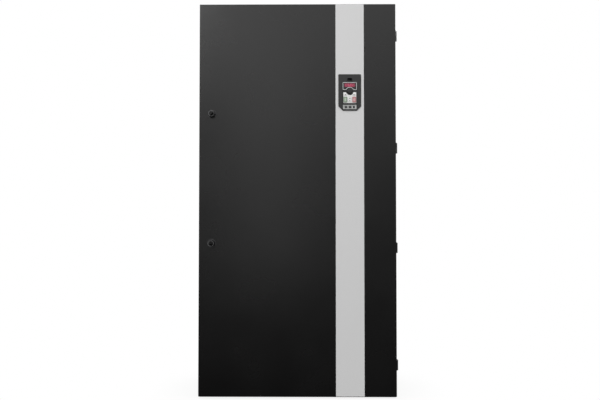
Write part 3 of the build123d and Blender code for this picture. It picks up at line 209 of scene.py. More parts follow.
def foam(name):
    """Foamed sealing strip with fine open cells."""
    finish = Finish(name, (0.02, 0.02, 0.021), 0.85)
    finish.color_between(finish.noise(500, 4), (0.012, 0.012, 0.013), (0.035, 0.035, 0.036))
    finish.bump(finish.cells(1400), 0.0004, 0.6)
    return finish


def rubber(name):
    """Moulded rubber with a dusty bloom."""
    finish = moulded_plastic(name, (0.018, 0.018, 0.019), 0.7, 1600)
    finish.color_between(finish.noise(40, 5), (0.012, 0.012, 0.012), (0.04, 0.04, 0.042))
    return finish


def circuit_laminate(name):
    """Green solder mask with faint tracks under it."""
    finish = Finish(name, (0.01, 0.11, 0.045), 0.3)
    finish.shader.inputs["Coat Weight"].default_value = 0.4
    finish.shader.inputs["Coat Roughness"].default_value = 0.15
    tracks = finish.nodes.new("ShaderNodeTexBrick")
    tracks.inputs["Scale"].default_value = 60
    tracks.inputs["Mortar Size"].default_value = 0.03
    tracks.inputs["Color1"].default_value = (0.008, 0.1, 0.04, 1)
    tracks.inputs["Color2"].default_value = (0.012, 0.13, 0.05, 1)
    tracks.inputs["Mortar"].default_value = (0.03, 0.24, 0.1, 1)
    turned = finish.nodes.new("ShaderNodeMapping")
    turned.inputs["Rotation"].default_value = (math.pi / 2, 0, 0)
    finish.links.new(finish.place, turned.inputs["Vector"])
    finish.links.new(turned.outputs["Vector"], tracks.inputs["Vector"])
    finish.links.new(tracks.outputs["Color"], finish.shader.inputs["Base Color"])
    finish.bump(tracks.outputs["Fac"], 0.00005, 0.5)
    return finish


def shrink_sleeve(name):
    """Dark blue shrink sleeve, glossy and slightly rippled."""
    finish = Finish(name, (0.012, 0.02, 0.06), 0.26)
    finish.color_between(finish.noise(20, 3), (0.009, 0.015, 0.045), (0.016, 0.027, 0.08))
    finish.roughness_between(finish.noise(35, 3), 0.2, 0.36)
    finish.bump(finish.noise(90, 2), 0.0003, 0.3)
    return finish


def laminations(name):
    """Stacked, varnished steel laminations."""
    finish = Finish(name, (0.05, 0.05, 0.052), 0.5, 0.6)
    finish.color_between(finish.noise(80, 4), (0.03, 0.03, 0.032), (0.08, 0.075, 0.07))
    finish.bump(finish.lines(320, "Y"), 0.0002, 0.8)
    return finish


def winding(name):
    """Varnished winding, one turn above the other."""
    finish = Finish(name, (0.3, 0.1, 0.04), 0.32)
    finish.color_between(finish.noise(60, 4), (0.2, 0.06, 0.025), (0.42, 0.16, 0.07))
    finish.bump(finish.lines(55, "Z", 0.3), 0.0012, 0.9)
    return finish


def clear_sheet(name):
    """Clear polycarbonate with light handling scratches."""
    finish = Finish(name, (0.92, 0.95, 0.96), 0.08)
    finish.shader.inputs["Transmission Weight"].default_value = 0.92
    finish.shader.inputs["IOR"].default_value = 1.1
    finish.roughness_between(finish.noise(9, 5), 0.04, 0.16)
    finish.bump(finish.noise(400, 2, (1, 1, 0.1)), 0.00002, 0.3)
    return finish


def insulation_film(name):
    """Pale insulating film."""
    return moulded_plastic(name, (0.75, 0.7, 0.55), 0.35, 900)


def display_lens(name):
    """Dark red display window, brighter where the light behind it is strongest."""
    finish = Finish(name, (0.1, 0.012, 0.025), 0.18)
    finish.shader.inputs["Coat Weight"].default_value = 0.5
    finish.shader.inputs["Coat Roughness"].default_value = 0.05
    finish.shader.inputs["Emission Strength"].default_value = 0.16
    low, high = (Vector(corner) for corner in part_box("display_window"))
    middle = (low + high) / 2
    centred = finish.nodes.new("ShaderNodeMapping")
    centred.inputs["Location"].default_value = [-c / (high.x - low.x) * 1.4 for c in middle]
    centred.inputs["Scale"].default_value = [1.4 / (high.x - low.x)] * 3
    finish.links.new(finish.place, centred.inputs["Vector"])
    glow = finish.nodes.new("ShaderNodeTexGradient")
    glow.gradient_type = "SPHERICAL"
    finish.links.new(centred.outputs["Vector"], glow.inputs["Vector"])
    finish.color_between(glow.outputs["Fac"], (0.03, 0.004, 0.01), (0.2, 0.02, 0.05), 0.0, 1.0)
    tint = finish.nodes.new("ShaderNodeValToRGB")
    tint.color_ramp.elements[0].color = (0.02, 0.002, 0.006, 1)
    tint.color_ramp.elements[1].color = (0.8, 0.14, 0.28, 1)
    finish.links.new(glow.outputs["Fac"], tint.inputs["Fac"])
    finish.links.new(tint.outputs["Color"], finish.shader.inputs["Emission Color"])
    finish.bump(finish.noise(800, 2), 0.00002, 0.2)
    return finish


FINISHES = {
    "frame_black": powder_coat("frame_black", (0.005, 0.005, 0.0052)),
    "panel_black": powder_coat("panel_black", (0.013, 0.013, 0.0135)),
    "door_black": powder_coat("door_black", (0.0026, 0.0025, 0.0025)),
    "strip_silver": satin_paint("strip_silver", (0.72, 0.72, 0.72)),
    "gasket_foam": foam("gasket_foam"),
    "hinge_black": satin_paint("hinge_black", (0.008, 0.008, 0.0085), 0.35),
    "pin_steel": bright_metal("pin_steel", (0.6, 0.6, 0.6)),
    "latch_black": moulded_plastic("latch_black", (0.003, 0.003, 0.0032), 0.36),
    "zinc_steel": bright_metal("zinc_steel", (0.66, 0.66, 0.63)),
    "zinc_sheet": galvanised("zinc_sheet"),
    "tray_charcoal": moulded_plastic("tray_charcoal", (0.017, 0.017, 0.0175), 0.5),
    "nameplate_grey": satin_paint("nameplate_grey", (0.6, 0.61, 0.6), 0.4),
    "keypad_black": moulded_plastic("keypad_black", (0.008, 0.008, 0.0085), 0.42),
    "display_red": display_lens("display_red"),
    "keypad_white": moulded_plastic("keypad_white", (0.88, 0.88, 0.87), 0.4),
    "key_green": moulded_plastic("key_green", (0.4, 0.5, 0.38), 0.45),
    "key_red": moulded_plastic("key_red", (0.68, 0.33, 0.34), 0.45),
    "key_white": moulded_plastic("key_white", (0.88, 0.88, 0.87), 0.42),
    "dial_black": moulded_plastic("dial_black", (0.004, 0.004, 0.0045), 0.38),
    "fan_black": moulded_plastic("fan_black", (0.014, 0.014, 0.015), 0.48, 1400),
    "guard_wire": bright_metal("guard_wire", (0.6, 0.6, 0.6), 0.22, (1, 1, 1)),
    "heatsink_aluminium": brushed_aluminium("heatsink_aluminium"),
    "module_ivory": moulded_plastic("module_ivory", (0.5, 0.47, 0.4), 0.48),
    "board_green": circuit_laminate("board_green"),
    "parts_dark": moulded_plastic("parts_dark", (0.02, 0.02, 0.021), 0.4),
    "terminal_green": moulded_plastic("terminal_green", (0.03, 0.26, 0.1), 0.42),
    "capacitor_sleeve": shrink_sleeve("capacitor_sleeve"),
    "copper": copper_bar("copper"),
    "copper_tinned": tinned_bar("copper_tinned"),
    "insulation_film": insulation_film("insulation_film"),
    "sensor_black": moulded_plastic("sensor_black", (0.016, 0.018, 0.024), 0.4),
    "clear_shroud": clear_sheet("clear_shroud"),
    "standoff_red": moulded_plastic("standoff_red", (0.3, 0.04, 0.03), 0.35),
    "core_laminated": laminations("core_laminated"),
    "coil_copper": winding("coil_copper"),
    "grommet_rubber": rubber("grommet_rubber"),
}
for part in frame["record"]["subparts"]:
    node_mesh = bpy.data.objects[part["node"]].data
    node_mesh.materials.clear()
    node_mesh.materials.append(FINISHES[part["material_slot"]].material)


# ---------------------------------------------------------------- modelling

FLAT_ON = 0.9
SMOOTH_BELOW = math.radians(35)
SHARP_ABOVE = math.radians(40)


def select_only(piece):
    """Select one piece and nothing else."""
    bpy.ops.object.select_all(action="DESELECT")
    piece.select_set(True)
    bpy.context.view_layer.objects.active = piece


def begin(add, name, scale=(1, 1, 1), **settings):
    """Add a primitive with nothing else selected, and keep its size and turn in its mesh."""
    bpy.ops.object.select_all(action="DESELECT")
    add(**settings)
    piece = bpy.context.object
    piece.scale = scale
    piece.name = piece.data.name = name
    bpy.ops.object.transform_apply(location=True, rotation=True, scale=True)
    return piece


def slab(name, low, high):
    """Block between two corners, ready to be shaped."""
    low, high = Vector(low), Vector(high)
    return begin(
        bpy.ops.mesh.primitive_cube_add,
        name,
        size=1,
        location=(low + high) / 2,
        scale=high - low,
    )


def front_slab(name, middle, width, height, proud, sunk=0.0002):
    """Thin block that stands proud of a front face and is sunk a little into it."""
    x, face, z = middle
    return slab(
        name,
        (x - width / 2, face - proud, z - height / 2),
        (x + width / 2, face + sunk, z + height / 2),
    )


def sheet_facing_front(name, middle, width, height):
    """Flat rectangle that faces the front."""
    return begin(
        bpy.ops.mesh.primitive_plane_add,
        name,
        size=1,
        location=middle,
        rotation=(math.pi / 2, 0, 0),
        scale=(width, height, 1),
    )


def disc(name, middle, radius, sides=48, front=True):
    """Flat disc that faces the front, or upwards."""
    return begin(
        bpy.ops.mesh.primitive_circle_add,
        name,
        vertices=sides,
        radius=radius,
        fill_type="NGON",
        location=middle,
        rotation=(math.pi / 2, 0, 0) if front else (0, 0, 0),
    )


def shape(piece):
    """Go into edit mode with the whole piece selected."""
    select_only(piece)
    bpy.ops.object.mode_set(mode="EDIT")
    bpy.ops.mesh.select_mode(type="FACE")
    bpy.ops.mesh.select_all(action="SELECT")


def choose_faces(piece, wanted):
    """In edit mode, select the faces whose middle and normal pass a test."""
    mesh = bmesh.from_edit_mesh(piece.data)
    for face in mesh.faces:
        face.select_set(bool(wanted(face.calc_center_median(), face.normal)))
    mesh.select_flush_mode()
    bmesh.update_edit_mesh(piece.data)


def choose_front(piece):
    """In edit mode, select the faces that look forward."""
    choose_faces(piece, lambda place, normal: normal.y < -FLAT_ON)


def choose_top(piece):
    """In edit mode, select the faces that look up."""
    choose_faces(piece, lambda place, normal: normal.z > FLAT_ON)


def move(x=0.0, y=0.0, z=0.0):
    """Move what is selected in edit mode."""
    bpy.ops.transform.translate(value=(x, y, z))


def stop_shaping():
    """Leave edit mode."""
    bpy.ops.object.mode_set(mode="OBJECT")


def modify(piece, kind, **settings):
    """Add a modifier and apply it."""
    select_only(piece)
    modifier = piece.modifiers.new(kind.lower(), kind)
    for setting, value in settings.items():
        setattr(modifier, setting, value)
    bpy.ops.object.modifier_apply(modifier=modifier.name)


def thicken(piece, thickness):
    """Give a flat shape its thickness, out of the side that it faces."""
    modify(piece, "SOLIDIFY", thickness=thickness, offset=1.0)


def soften(piece, width, segments=2):
    """Round the sharp edges."""
    modify(
        piece,
        "BEVEL",
        width=width,
        segments=segments,
        limit_method="ANGLE",
        angle_limit=SHARP_ABOVE,
    )


def copy_to(piece, offset, angle=0.0, middle=(0, 0, 0)):
    """Copy of a piece with its own mesh, turned in the plane of the front and then moved."""
    twin = piece.copy()
    twin.data = piece.data.copy()
    bpy.context.collection.objects.link(twin)
    middle = Vector(middle)
    turn = Matrix.Rotation(angle, 4, "Y")
    moved = Matrix.Translation(Vector(offset) + middle)
    twin.matrix_world = moved @ turn @ Matrix.Translation(-middle)
    select_only(twin)
    bpy.ops.object.transform_apply(location=True, rotation=True, scale=True)
    return twin


def merge(pieces, name):
    """Join several shapes into one piece."""
    select_only(pieces[0])
    for piece in pieces:
        piece.select_set(True)
    if len(pieces) > 1:
        bpy.ops.object.join()
    pieces[0].name = pieces[0].data.name = name
    return pieces[0]


def fit(piece, body, finish):
    """Smooth a finished piece, give it its finish and fix it to its body."""
    select_only(piece)
    bpy.ops.object.shade_smooth_by_angle(angle=SMOOTH_BELOW)
    piece.data.materials.clear()
    piece.data.materials.append(finish.material)
    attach(piece, body)


def hollow(piece, line, corner=0.0):
    """Round the corners of a flat shape and leave only a line around it."""
    shape(piece)
    if corner:
        bpy.ops.mesh.bevel(offset=corner, segments=5, affect="VERTICES")
    bpy.ops.mesh.inset(thickness=line)
    bpy.ops.mesh.delete(type="FACE")
    stop_shaping()


def outline(name, middle, width, height, line, corner, thickness):
    """Raised line around a rectangle with round corners, facing the front."""
    border = sheet_facing_front(name, middle, width, height)
    hollow(border, line, corner)
    thicken(border, thickness)
    return border


def ring(name, middle, outer, line, thickness, sides=48):
    """Raised round line, facing the front."""
    hoop = disc(name, middle, outer, sides)
    hollow(hoop, line)
    thicken(hoop, thickness)
    return hoop


def middle_of(node):
    """Middle of a CAD node's box."""
    low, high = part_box(node)
    return (Vector(low) + Vector(high)) / 2


# ---------------------------------------------------------------- keypad

CASE_LOW, CASE_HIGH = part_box("keypad_case")
CASE_X = middle_of("keypad_case").x
DIAL_LOW, DIAL_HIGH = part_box("dial_knob")
DIAL_Z = middle_of("dial_knob").z
MARK_PROUD = 0.0003


def display_outline():
    """Pale line around the display, arched over the dial."""
    width, height, corner, top_gap = 0.0605, 0.0325, 0.003, 0.0006
    line_width, thickness = 0.0017, 0.0007
    arch_radius, arch_sides = 0.0186, 72
    cutter_depth, cutter_back = 0.008, 0.003
    face = CASE_LOW.y
    middle = Vector((CASE_X, face, CASE_HIGH.z - top_gap - height / 2))
    line = outline("display_outline", middle, width, height, line_width, corner, thickness)
    cutter = disc("dial_room", (CASE_X, face + cutter_back, DIAL_Z), arch_radius - line_width / 2)
    thicken(cutter, cutter_depth)
    modify(line, "BOOLEAN", operation="DIFFERENCE", object=cutter, solver="EXACT")
    bpy.data.objects.remove(cutter)
    arch = disc("dial_arch", (CASE_X, face, DIAL_Z), arch_radius, arch_sides)
    hollow(arch, line_width)
    shape(arch)
    low = middle.z - height / 2
    bpy.ops.mesh.bisect(plane_co=(CASE_X, face, low), plane_no=(0, 0, 1), clear_inner=True)
    stop_shaping()
    thicken(arch, thickness)
    fit(merge([line, arch], "display_outline"), "keypad", OUTLINE_GREY)


BARS_LIT = {"0": "abcdef", "5": "acdfg"}


def display_digits():
    """Four seven-bar figures behind the red window, some bars lit and the rest dim."""
    width, height, pitch, bar = 0.0058, 0.0102, 0.0105, 0.0011
    proud, sunk, tip, taper = 0.00035, 0.0001, 0.4, 0.2
    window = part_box("display_window")
    middle = middle_of("display_window")
    template = front_slab(
        "digit_bar", (middle.x, window[0].y, middle.z), width - bar, bar, proud, sunk
    )
    shape(template)
    choose_faces(template, lambda place, normal: abs(normal.x) > FLAT_ON)
    bpy.ops.mesh.extrude_region_move()
    for side in (-1, 1):
        choose_faces(template, lambda place, normal: normal.x * side > FLAT_ON)
        move(x=side * bar * tip)
        bpy.ops.transform.resize(value=(1, 1, taper), center_override=tuple(middle))
    stop_shaping()
    across, half = width / 2, height / 2 - bar / 2
    places = {
        "a": (0, half, 0),
        "d": (0, -half, 0),
        "g": (0, 0, 0),
        "b": (across, half / 2, 1),
        "c": (across, -half / 2, 1),
        "e": (-across, -half / 2, 1),
        "f": (-across, half / 2, 1),
    }
    lit, dim = [], []
    for place, figure in enumerate("0500"):
        for name, (x, z, upright) in places.items():
            offset = ((place - 1.5) * pitch + x, 0, z)
            twin = copy_to(template, offset, upright * math.pi / 2, middle)
            (lit if name in BARS_LIT[figure] else dim).append(twin)
    bpy.data.objects.remove(template)
    fit(merge(lit, "digits_lit"), "keypad", DIGIT_LIT)
    fit(merge(dim, "digits_dim"), "keypad", DIGIT_DIM)


def key_bar(middle):
    """One upright bar."""
    mark = front_slab("mark", middle, 0.0018, 0.01, MARK_PROUD)
    soften(mark, 0.0002)
    return [mark]


def key_ring(middle):
    """One ring."""
    return [ring("mark", middle, 0.0042, 0.0014, MARK_PROUD)]


def key_bars(middle):
    """Two level bars."""
    x, face, z = middle
    gap = 0.0022
    mark = front_slab("mark", (x, face, z - gap / 2), 0.006, 0.001, MARK_PROUD)
    soften(mark, 0.0002)
    return [mark, copy_to(mark, (0, 0, gap))]


def key_square(middle):
    """One wide square."""
    return [outline("mark", middle, 0.006, 0.0036, 0.0009, 0.0004, MARK_PROUD)]


def key_arrows(middle):
    """One triangle above another."""
    x, face, z = middle
    mark = disc("mark", (x, face, z + 0.005), 0.0028, 3)
    thicken(mark, MARK_PROUD)
    return [mark, copy_to(mark, (0, 0, 0), math.pi, middle)]


def key_marks():
    """Symbol of each key, and the border of the two large ones, each on its own key."""
    margin, line, corner = 0.0016, 0.0013, 0.0015
    for node, body, slot, border, symbol, marking in (
        ("key_run", "run_key", "key_green", GREEN_DEEP, key_bar, MARK_PALE),
        ("key_stop", "stop_key", "key_red", RED_DEEP, key_ring, MARK_PALE),
        ("key_program", "program_key", "key_white", None, key_bars, MARK_DARK),
        ("key_escape", "escape_key", "key_white", None, key_square, MARK_DARK),
        ("key_shift", "shift_key", "key_white", None, key_arrows, MARK_DARK),
    ):
        low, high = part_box(node)
        middle = ((low.x + high.x) / 2, low.y, (low.z + high.z) / 2)
        if border:
            width, height = high.x - low.x - margin, high.z - low.z - margin
            edge = outline(f"{node}_border", middle, width, height, line, corner, MARK_PROUD)
            fit(edge, body, border)
        fit(merge(symbol(middle), f"{node}_symbol"), body, marking)


def dial_grip():
    """Fluted skirt around the dial, with a ring and a pointer on its face."""
    skirt_set_back, skirt_radius, skirt_wall, skirt_depth = 0.0065, 0.0118, 0.0024, 0.0045
    flute_margin, flute_depth, rounding = 0.0001, 0.0007, 0.0002
    ring_radius, ring_line = 0.0072, 0.0009
    pointer_width, pointer_length, pointer_rise = 0.0012, 0.0036, 0.004
    front = DIAL_LOW.y
    axis = Vector((CASE_X, DIAL_HIGH.y, DIAL_Z))
    skirt_place = (CASE_X, front + skirt_set_back, DIAL_Z)
    skirt = ring("dial_grip", skirt_place, skirt_radius, skirt_wall, skirt_depth)
    shape(skirt)
    mesh = bmesh.from_edit_mesh(skirt.data)
    rim = []
    for face in mesh.faces:
        outward = face.calc_center_median() - axis
        if abs(face.normal.y) < 1 - FLAT_ON and outward.dot(face.normal) > 0:
            rim.append((math.atan2(outward.z, outward.x), face))
        face.select_set(False)
    rim.sort(key=lambda entry: entry[0])
    for _, face in rim[::2]:
        face.select_set(True)
    bmesh.update_edit_mesh(skirt.data)
    bpy.ops.mesh.inset(thickness=flute_margin, use_individual=True, depth=-flute_depth)
    stop_shaping()
    soften(skirt, rounding, 1)
    circle = ring("dial_rim", (CASE_X, front, DIAL_Z), ring_radius, ring_line, MARK_PROUD)
    pointer_middle = (CASE_X, front, DIAL_Z + pointer_rise)
    pointer = front_slab("dial_pointer", pointer_middle, pointer_width, pointer_length, MARK_PROUD)
    soften(pointer, rounding)
    fit(skirt, "dial", FINISHES["dial_black"])
    fit(merge([circle, pointer], "dial_mark"), "dial", DIAL_LINE)


def notch_shade_liner():
    """Thin dark sheet with a rubber finish lining the finger notch above the keypad; painted shade that
    darkens the recess.
    """
    half_width, height, gap = 0.0109, 0.0178, 0.0006
    front_gap, depth = 0.0004, 0.0115
    corner, wall, slack = 0.0042, 0.0006, 0.001
    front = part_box("keypad_tray")[0].y + front_gap
    low = Vector((CASE_X - half_width, front, CASE_HIGH.z + gap))
    high = Vector((CASE_X + half_width, front + depth, low.z + height))
    lining = slab("notch_shade_liner", low, high)
    shape(lining)
    choose_front(lining)
    bpy.ops.mesh.delete(type="FACE")
    bpy.ops.mesh.select_mode(type="EDGE")
    mesh = bmesh.from_edit_mesh(lining.data)
    for edge in mesh.edges:
        one, two = (corner_point.co for corner_point in edge.verts)
        edge.select_set(abs(one.y - two.y) > depth / 2 and one.z > high.z - slack)
    bmesh.update_edit_mesh(lining.data)
    bpy.ops.mesh.bevel(offset=corner, segments=6, affect="EDGES")
    stop_shaping()
    modify(lining, "SOLIDIFY", thickness=wall, offset=-1.0)
    # The dark sheet paints shade into the notch.
    fit(lining, "door", SEAL_RUBBER_AND_NOTCH_SHADE)


def nameplate_marks():
    """Plain border and three plain bars on the blank plate under the keypad."""
    margin, line, corner, proud = 0.003, 0.001, 0.0012, 0.0002
    bar_height, lip, lip_rise = 0.0096, 0.0006, 0.0001
    low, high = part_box("nameplate")
    x, face, z = (low.x + high.x) / 2, low.y, (low.z + high.z) / 2
    width, height = high.x - low.x - margin, high.z - low.z - margin
    shapes = [outline("plate_border", (x, face, z), width, height, line, corner, proud)]
    for across, bar_width in ((-0.0165, 0.013), (0.001, 0.014), (0.0175, 0.01)):
        bar = front_slab("plate_bar", (x + across, face, z), bar_width, bar_height, proud)
        shape(bar)
        choose_front(bar)
        bpy.ops.mesh.inset(thickness=lip, depth=lip_rise)
        stop_shaping()
        shapes.append(bar)
    fit(merge(shapes, "nameplate_marks"), "door", PLATE_DARK)


# ---------------------------------------------------------------- outside fittings

def latch_rims():
    """Rubber seal around each latch, and a pale ring on the front rim of its turning part that is a
    painted highlight.
    """
    seal_reach, seal_width, seal_height, seal_rounding = 0.0062, 0.0035, 0.0016, 0.0004
    edge_inset, edge_width, edge_sides = 0.0003, 0.0011, 64
    for which in ("upper", "lower"):
        low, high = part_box(f"latch_knob_{which}")
        x, z, radius = (low.x + high.x) / 2, (low.z + high.z) / 2, (high.x - low.x) / 2
        seal_radius = radius + seal_reach
        seal_place = (x, DOOR_FACE_Y, z)
        seal = ring(f"latch_seal_{which}", seal_place, seal_radius, seal_width, seal_height)
        soften(seal, seal_rounding)
        fit(seal, "door", SEAL_RUBBER_AND_NOTCH_SHADE)
        # Pale ring on the knob's front rim: a painted highlight, not wear.
        edge_place = (x, low.y + edge_width, z)
        edge_radius = radius - edge_inset
        edge = ring(f"latch_edge_highlight_{which}", edge_place, edge_radius, edge_width, edge_width, edge_sides)
        fit(edge, f"latch_{which}", KNOB_EDGE_HIGHLIGHT)


def lifting_plugs():
    """Plastic plugs in the four lifting threads."""
    block_half = 0.014
    plug_length, plug_radius, plug_sides = 0.006, 0.0049, 24
    head_radius, head_height = 0.009, 0.0018
    shoulder, crown, dish, dish_depth = 0.003, 0.0009, 0.002, 0.0012
    low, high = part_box("lifting_blocks")
    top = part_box("top_panel")[1].z
    xs = (low.x + block_half, high.x - block_half)
    ys = (low.y + block_half, high.y - block_half)
    foot = (xs[0], ys[0], top - plug_length)
    plug = disc("lifting_plug", foot, plug_radius, plug_sides, front=False)
    thicken(plug, plug_length)
    head = disc("plug_head", (xs[0], ys[0], top), head_radius, plug_sides, front=False)
    thicken(head, head_height)
    shape(head)
    choose_top(head)
    bpy.ops.mesh.inset(thickness=shoulder)
    move(z=crown)
    bpy.ops.mesh.inset(thickness=dish, depth=-dish_depth)
    stop_shaping()
    first = merge([plug, head], "lifting_plug")
    others = [
        copy_to(first, (x - xs[0], y - ys[0], 0))
        for x in xs
        for y in ys
        if (x, y) != (xs[0], ys[0])
    ]
    rubber_finish = FINISHES["grommet_rubber"]
    fit(merge([first, *others], "lifting_plugs"), "cabinet", rubber_finish)


def fan_hub_discs():
    """Blank foil disc on the hub of each fan rotor."""
    radius, thickness = 0.027, 0.0005
    edge, edge_rise, face_width, groove, groove_depth = 0.0016, 0.0003, 0.006, 0.0012, 0.0003
    hub_y = middle_of("fan_housings").y
    for number, x in enumerate(FAN_PLACES, 1):
        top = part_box(f"fan_rotor_{number}")[1].z
        plate = disc(f"fan_hub_disc_{number}", (x, hub_y, top), radius, front=False)
        thicken(plate, thickness)
        shape(plate)
        choose_top(plate)
        bpy.ops.mesh.inset(thickness=edge)
        move(z=edge_rise)
        bpy.ops.mesh.inset(thickness=face_width)
        bpy.ops.mesh.inset(thickness=groove, depth=-groove_depth)
        stop_shaping()
        fit(plate, f"fan_{number}", HUB_FOIL)


# ---------------------------------------------------------------- inside fittings

FAN_PLACES = (-0.27, 0.0, 0.27)


def cap_screw(name, middle, radius, height):
    """Socket head screw seen from the front."""
    head = disc(name, middle, radius, 18)
    thicken(head, height)
    shape(head)
    choose_front(head)
    bpy.ops.mesh.inset(thickness=radius * 0.14)
    move(y=-height * 0.12)
    bpy.ops.mesh.inset(thickness=radius * 0.34)
    bpy.ops.mesh.inset(thickness=0.00001, depth=-height * 0.7)
    stop_shaping()
    return head


def module_screws():
    """Four screws through the flange of each power module."""
    module_width, module_height, module_pitch = 0.089, 0.172, 0.104
    flange, margin = 0.019, 0.0035
    back_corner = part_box("power_modules")[1]
    first = cap_screw("module_screw", (0, back_corner.y - flange, 0), 0.0031, 0.004)
    heights = (back_corner.z - margin, back_corner.z - module_height + margin)
    heads = [
        copy_to(first, (phase + side * module_pitch / 2 + across * (module_width / 2 - margin), 0, z))
        for phase in FAN_PLACES
        for side in (-1, 1)
        for across in (-1, 1)
        for z in heights
    ]
    bpy.data.objects.remove(first)
    fit(merge(heads, "module_screws"), "cabinet", FINISHES["zinc_steel"])


def terminal_screws():
    """Slotted screws along the front of the control terminals."""
    blocks, block_pitch, ways, way_pitch, drop = 6, 0.052, 8, 0.0058, 0.005
    radius, height, sides = 0.0019, 0.0006, 12
    shoulder, crown, slot_half, slot_depth = 0.0003, 0.0002, 0.0003, 0.0005
    low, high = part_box("control_terminals")
    screw = disc("terminal_screw", (0, low.y, 0), radius, sides)
    thicken(screw, height)
    shape(screw)
    choose_front(screw)
    bpy.ops.mesh.inset(thickness=shoulder)
    move(y=-crown)
    for z in (slot_half, -slot_half):
        bpy.ops.mesh.bisect(plane_co=(0, 0, z), plane_no=(0, 0, 1))
        bpy.ops.mesh.select_all(action="SELECT")
    choose_faces(
        screw, lambda place, normal: normal.y < -FLAT_ON and abs(place.z) < slot_half / 1.5
    )
    move(y=slot_depth)
    stop_shaping()
    middle = (low.x + high.x) / 2
    heads = [
        copy_to(
            screw,
            (
                middle + (block - (blocks - 1) / 2) * block_pitch + (way - (ways - 1) / 2) * way_pitch,
                0,
                high.z - drop,
            ),
        )
        for block in range(blocks)
        for way in range(ways)
    ]
    bpy.data.objects.remove(screw)
    fit(merge(heads, "terminal_screws"), "cabinet", FINISHES["zinc_steel"])


def board_lamps():
    """Row of small status lamps on the control board."""
    radius, sides, height = 0.0016, 16, 0.002
    count, pitch, first_x, above_terminals = 6, 0.012, 0.02, 0.012
    dome_steps = ((0.0003, 0.0007), (0.0005, 0.0005), (0.0004, 0.0002))
    low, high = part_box("control_terminals")
    lamp = disc("board_lamp", (0, high.y, 0), radius, sides)
    thicken(lamp, height)
    shape(lamp)
    choose_front(lamp)
    for step, rise in dome_steps:
        bpy.ops.mesh.inset(thickness=step)
        move(y=-rise)
    stop_shaping()
    lamps = [
        copy_to(lamp, (low.x + first_x + index * pitch, 0, high.z + above_terminals))
        for index in range(count)
    ]
    bpy.data.objects.remove(lamp)
    fit(merge(lamps, "board_lamps"), "cabinet", FINISHES["key_green"])


FINISHES["latch_black"].shader.inputs["Specular IOR Level"].default_value = 0.22
OUTLINE_GREY = satin_paint("outline_grey", (0.78, 0.79, 0.79), 0.45)
DIAL_LINE = satin_paint("dial_line", (0.05, 0.05, 0.052), 0.4)
DIGIT_LIT = moulded_plastic("digit_lit", (0.6, 0.05, 0.1), 0.3)
DIGIT_LIT.shader.inputs["Emission Color"].default_value = (1.0, 0.16, 0.26, 1)
DIGIT_LIT.shader.inputs["Emission Strength"].default_value = 0.3
DIGIT_DIM = moulded_plastic("digit_dim", (0.05, 0.006, 0.012), 0.3)
GREEN_DEEP = moulded_plastic("green_deep", (0.07, 0.12, 0.07), 0.45)
RED_DEEP = moulded_plastic("red_deep", (0.32, 0.06, 0.07), 0.45)
MARK_DARK = moulded_plastic("mark_dark", (0.03, 0.03, 0.032), 0.5)
MARK_PALE = moulded_plastic("mark_pale", (0.75, 0.75, 0.73), 0.45)
# Black rubber for the latch seals, also used for the sheet that paints shade into the notch.
SEAL_RUBBER_AND_NOTCH_SHADE = rubber("seal_rubber_and_notch_shade")
PLATE_DARK = satin_paint("plate_dark", (0.02, 0.02, 0.021), 0.4)
# Pale grey for the knob rim ring: a painted highlight.
KNOB_EDGE_HIGHLIGHT = satin_paint("knob_edge_painted_highlight", (0.16, 0.16, 0.163), 0.3)
HUB_FOIL = bright_metal("hub_foil", (0.5, 0.5, 0.5), 0.4, (1, 1, 1))

display_outline()
display_digits()
key_marks()
dial_grip()
notch_shade_liner()
nameplate_marks()
latch_rims()
lifting_plugs()
fan_hub_discs()
module_screws()
terminal_screws()
board_lamps()


# ---------------------------------------------------------------- studio

CAMERA_DISTANCE = 3.0
CAMERA_HEIGHT = 0.758
CAMERA_SIDE = 0.038
AIM_SIDE = 0.011
AIM_HEIGHT = 0.8489
LENS = 41.8
SENSOR_WIDTH = 36

camera = bpy.data.objects.new("camera", bpy.data.cameras.new("camera"))
bpy.context.collection.objects.link(camera)
camera.location = (CAMERA_SIDE, DOOR_FACE_Y - CAMERA_DISTANCE, CAMERA_HEIGHT)
aim = Vector((AIM_SIDE, DOOR_FACE_Y, AIM_HEIGHT))
camera.rotation_euler = (aim - camera.location).to_track_quat("-Z", "Y").to_euler()
camera.data.lens = LENS
camera.data.sensor_width = SENSOR_WIDTH
bpy.context.scene.camera = camera
bpy.context.scene.view_settings.view_transform = "Standard"


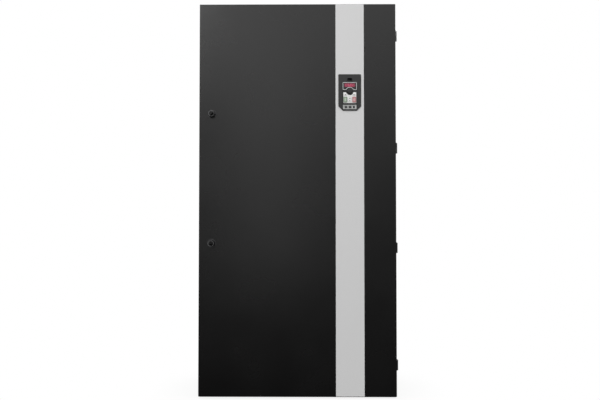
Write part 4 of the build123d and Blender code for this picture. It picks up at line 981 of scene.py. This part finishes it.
def studio_world():
    """White to the eye; as light, a gradient that falls from overhead to a dark lower front."""
    world = bpy.data.worlds.new("studio")
    bpy.context.scene.world = world
    world.use_nodes = True
    nodes, links = world.node_tree.nodes, world.node_tree.links
    nodes.clear()
    coordinates = nodes.new("ShaderNodeTexCoord")
    axes = nodes.new("ShaderNodeSeparateXYZ")
    links.new(coordinates.outputs["Generated"], axes.inputs["Vector"])
    upward = nodes.new("ShaderNodeMapRange")
    upward.inputs["From Min"].default_value = -1
    upward.inputs["From Max"].default_value = 1
    links.new(axes.outputs["Z"], upward.inputs["Value"])
    ramp = nodes.new("ShaderNodeValToRGB")
    stops = (
        (0.0, 0.006),
        (0.37, 0.008),
        (0.43, 0.06),
        (0.5, 0.15),
        (0.55, 0.26),
        (0.61, 0.56),
        (0.67, 1.0),
    )
    elements = ramp.color_ramp.elements
    while len(elements) < len(stops):
        elements.new(0.5)
    for element, (position, value) in zip(elements, stops):
        element.position = position
        element.color = (value, value, value, 1)
    links.new(upward.outputs["Result"], ramp.inputs["Fac"])
    glow = nodes.new("ShaderNodeBackground")
    glow.inputs["Strength"].default_value = 1.5
    links.new(ramp.outputs["Color"], glow.inputs["Color"])
    white = nodes.new("ShaderNodeBackground")
    white.inputs["Color"].default_value = (1, 1, 1, 1)
    white.inputs["Strength"].default_value = 1.0
    path = nodes.new("ShaderNodeLightPath")
    mix = nodes.new("ShaderNodeMixShader")
    links.new(path.outputs["Is Camera Ray"], mix.inputs["Fac"])
    links.new(glow.outputs["Background"], mix.inputs[1])
    links.new(white.outputs["Background"], mix.inputs[2])
    output = nodes.new("ShaderNodeOutputWorld")
    links.new(mix.outputs["Shader"], output.inputs["Surface"])


def studio_floor():
    """White floor with a soft contact shade; it casts no light on the object."""
    bpy.ops.object.select_all(action="DESELECT")
    bpy.ops.mesh.primitive_plane_add(size=30, location=(0, 0, -0.001))
    floor = bpy.context.object
    floor.name = "studio_floor"
    material = bpy.data.materials.new("studio_floor")
    material.use_nodes = True
    nodes, links = material.node_tree.nodes, material.node_tree.links
    nodes.clear()
    shade = nodes.new("ShaderNodeAmbientOcclusion")
    shade.inputs["Distance"].default_value = 0.25
    span = nodes.new("ShaderNodeMapRange")
    span.inputs["To Min"].default_value = 0.88
    span.inputs["To Max"].default_value = 1.0
    links.new(shade.outputs["AO"], span.inputs["Value"])
    glow = nodes.new("ShaderNodeEmission")
    links.new(span.outputs["Result"], glow.inputs["Strength"])
    output = nodes.new("ShaderNodeOutputMaterial")
    links.new(glow.outputs["Emission"], output.inputs["Surface"])
    floor.data.materials.append(material)
    floor.visible_glossy = False
    floor.visible_diffuse = False


def studio_light(name, size, place, aim, power):
    """A rectangular soft light that faces a point."""
    light = bpy.data.objects.new(name, bpy.data.lights.new(name, "AREA"))
    bpy.context.collection.objects.link(light)
    light.data.shape = "RECTANGLE"
    light.data.size, light.data.size_y = size
    light.data.energy = power
    light.location = place
    light.rotation_euler = (Vector(aim) - Vector(place)).to_track_quat("-Z", "Y").to_euler()
    return light


studio_world()
studio_floor()
studio_light("key_light", (1.6, 1.6), (-2.0, -3.4, 3.4), (0, -0.2, 1.0), 60)
strip_light = studio_light("strip_light", (0.8, 3.2), (-0.46, -6.2, 1.6), (-0.46, 0, 1.6), 7)
strip_light.visible_diffuse = False
studio_light("rear_light", (2.2, 2.2), (2.8, 3.6, 3.0), (0, 0.1, 0.9), 90)
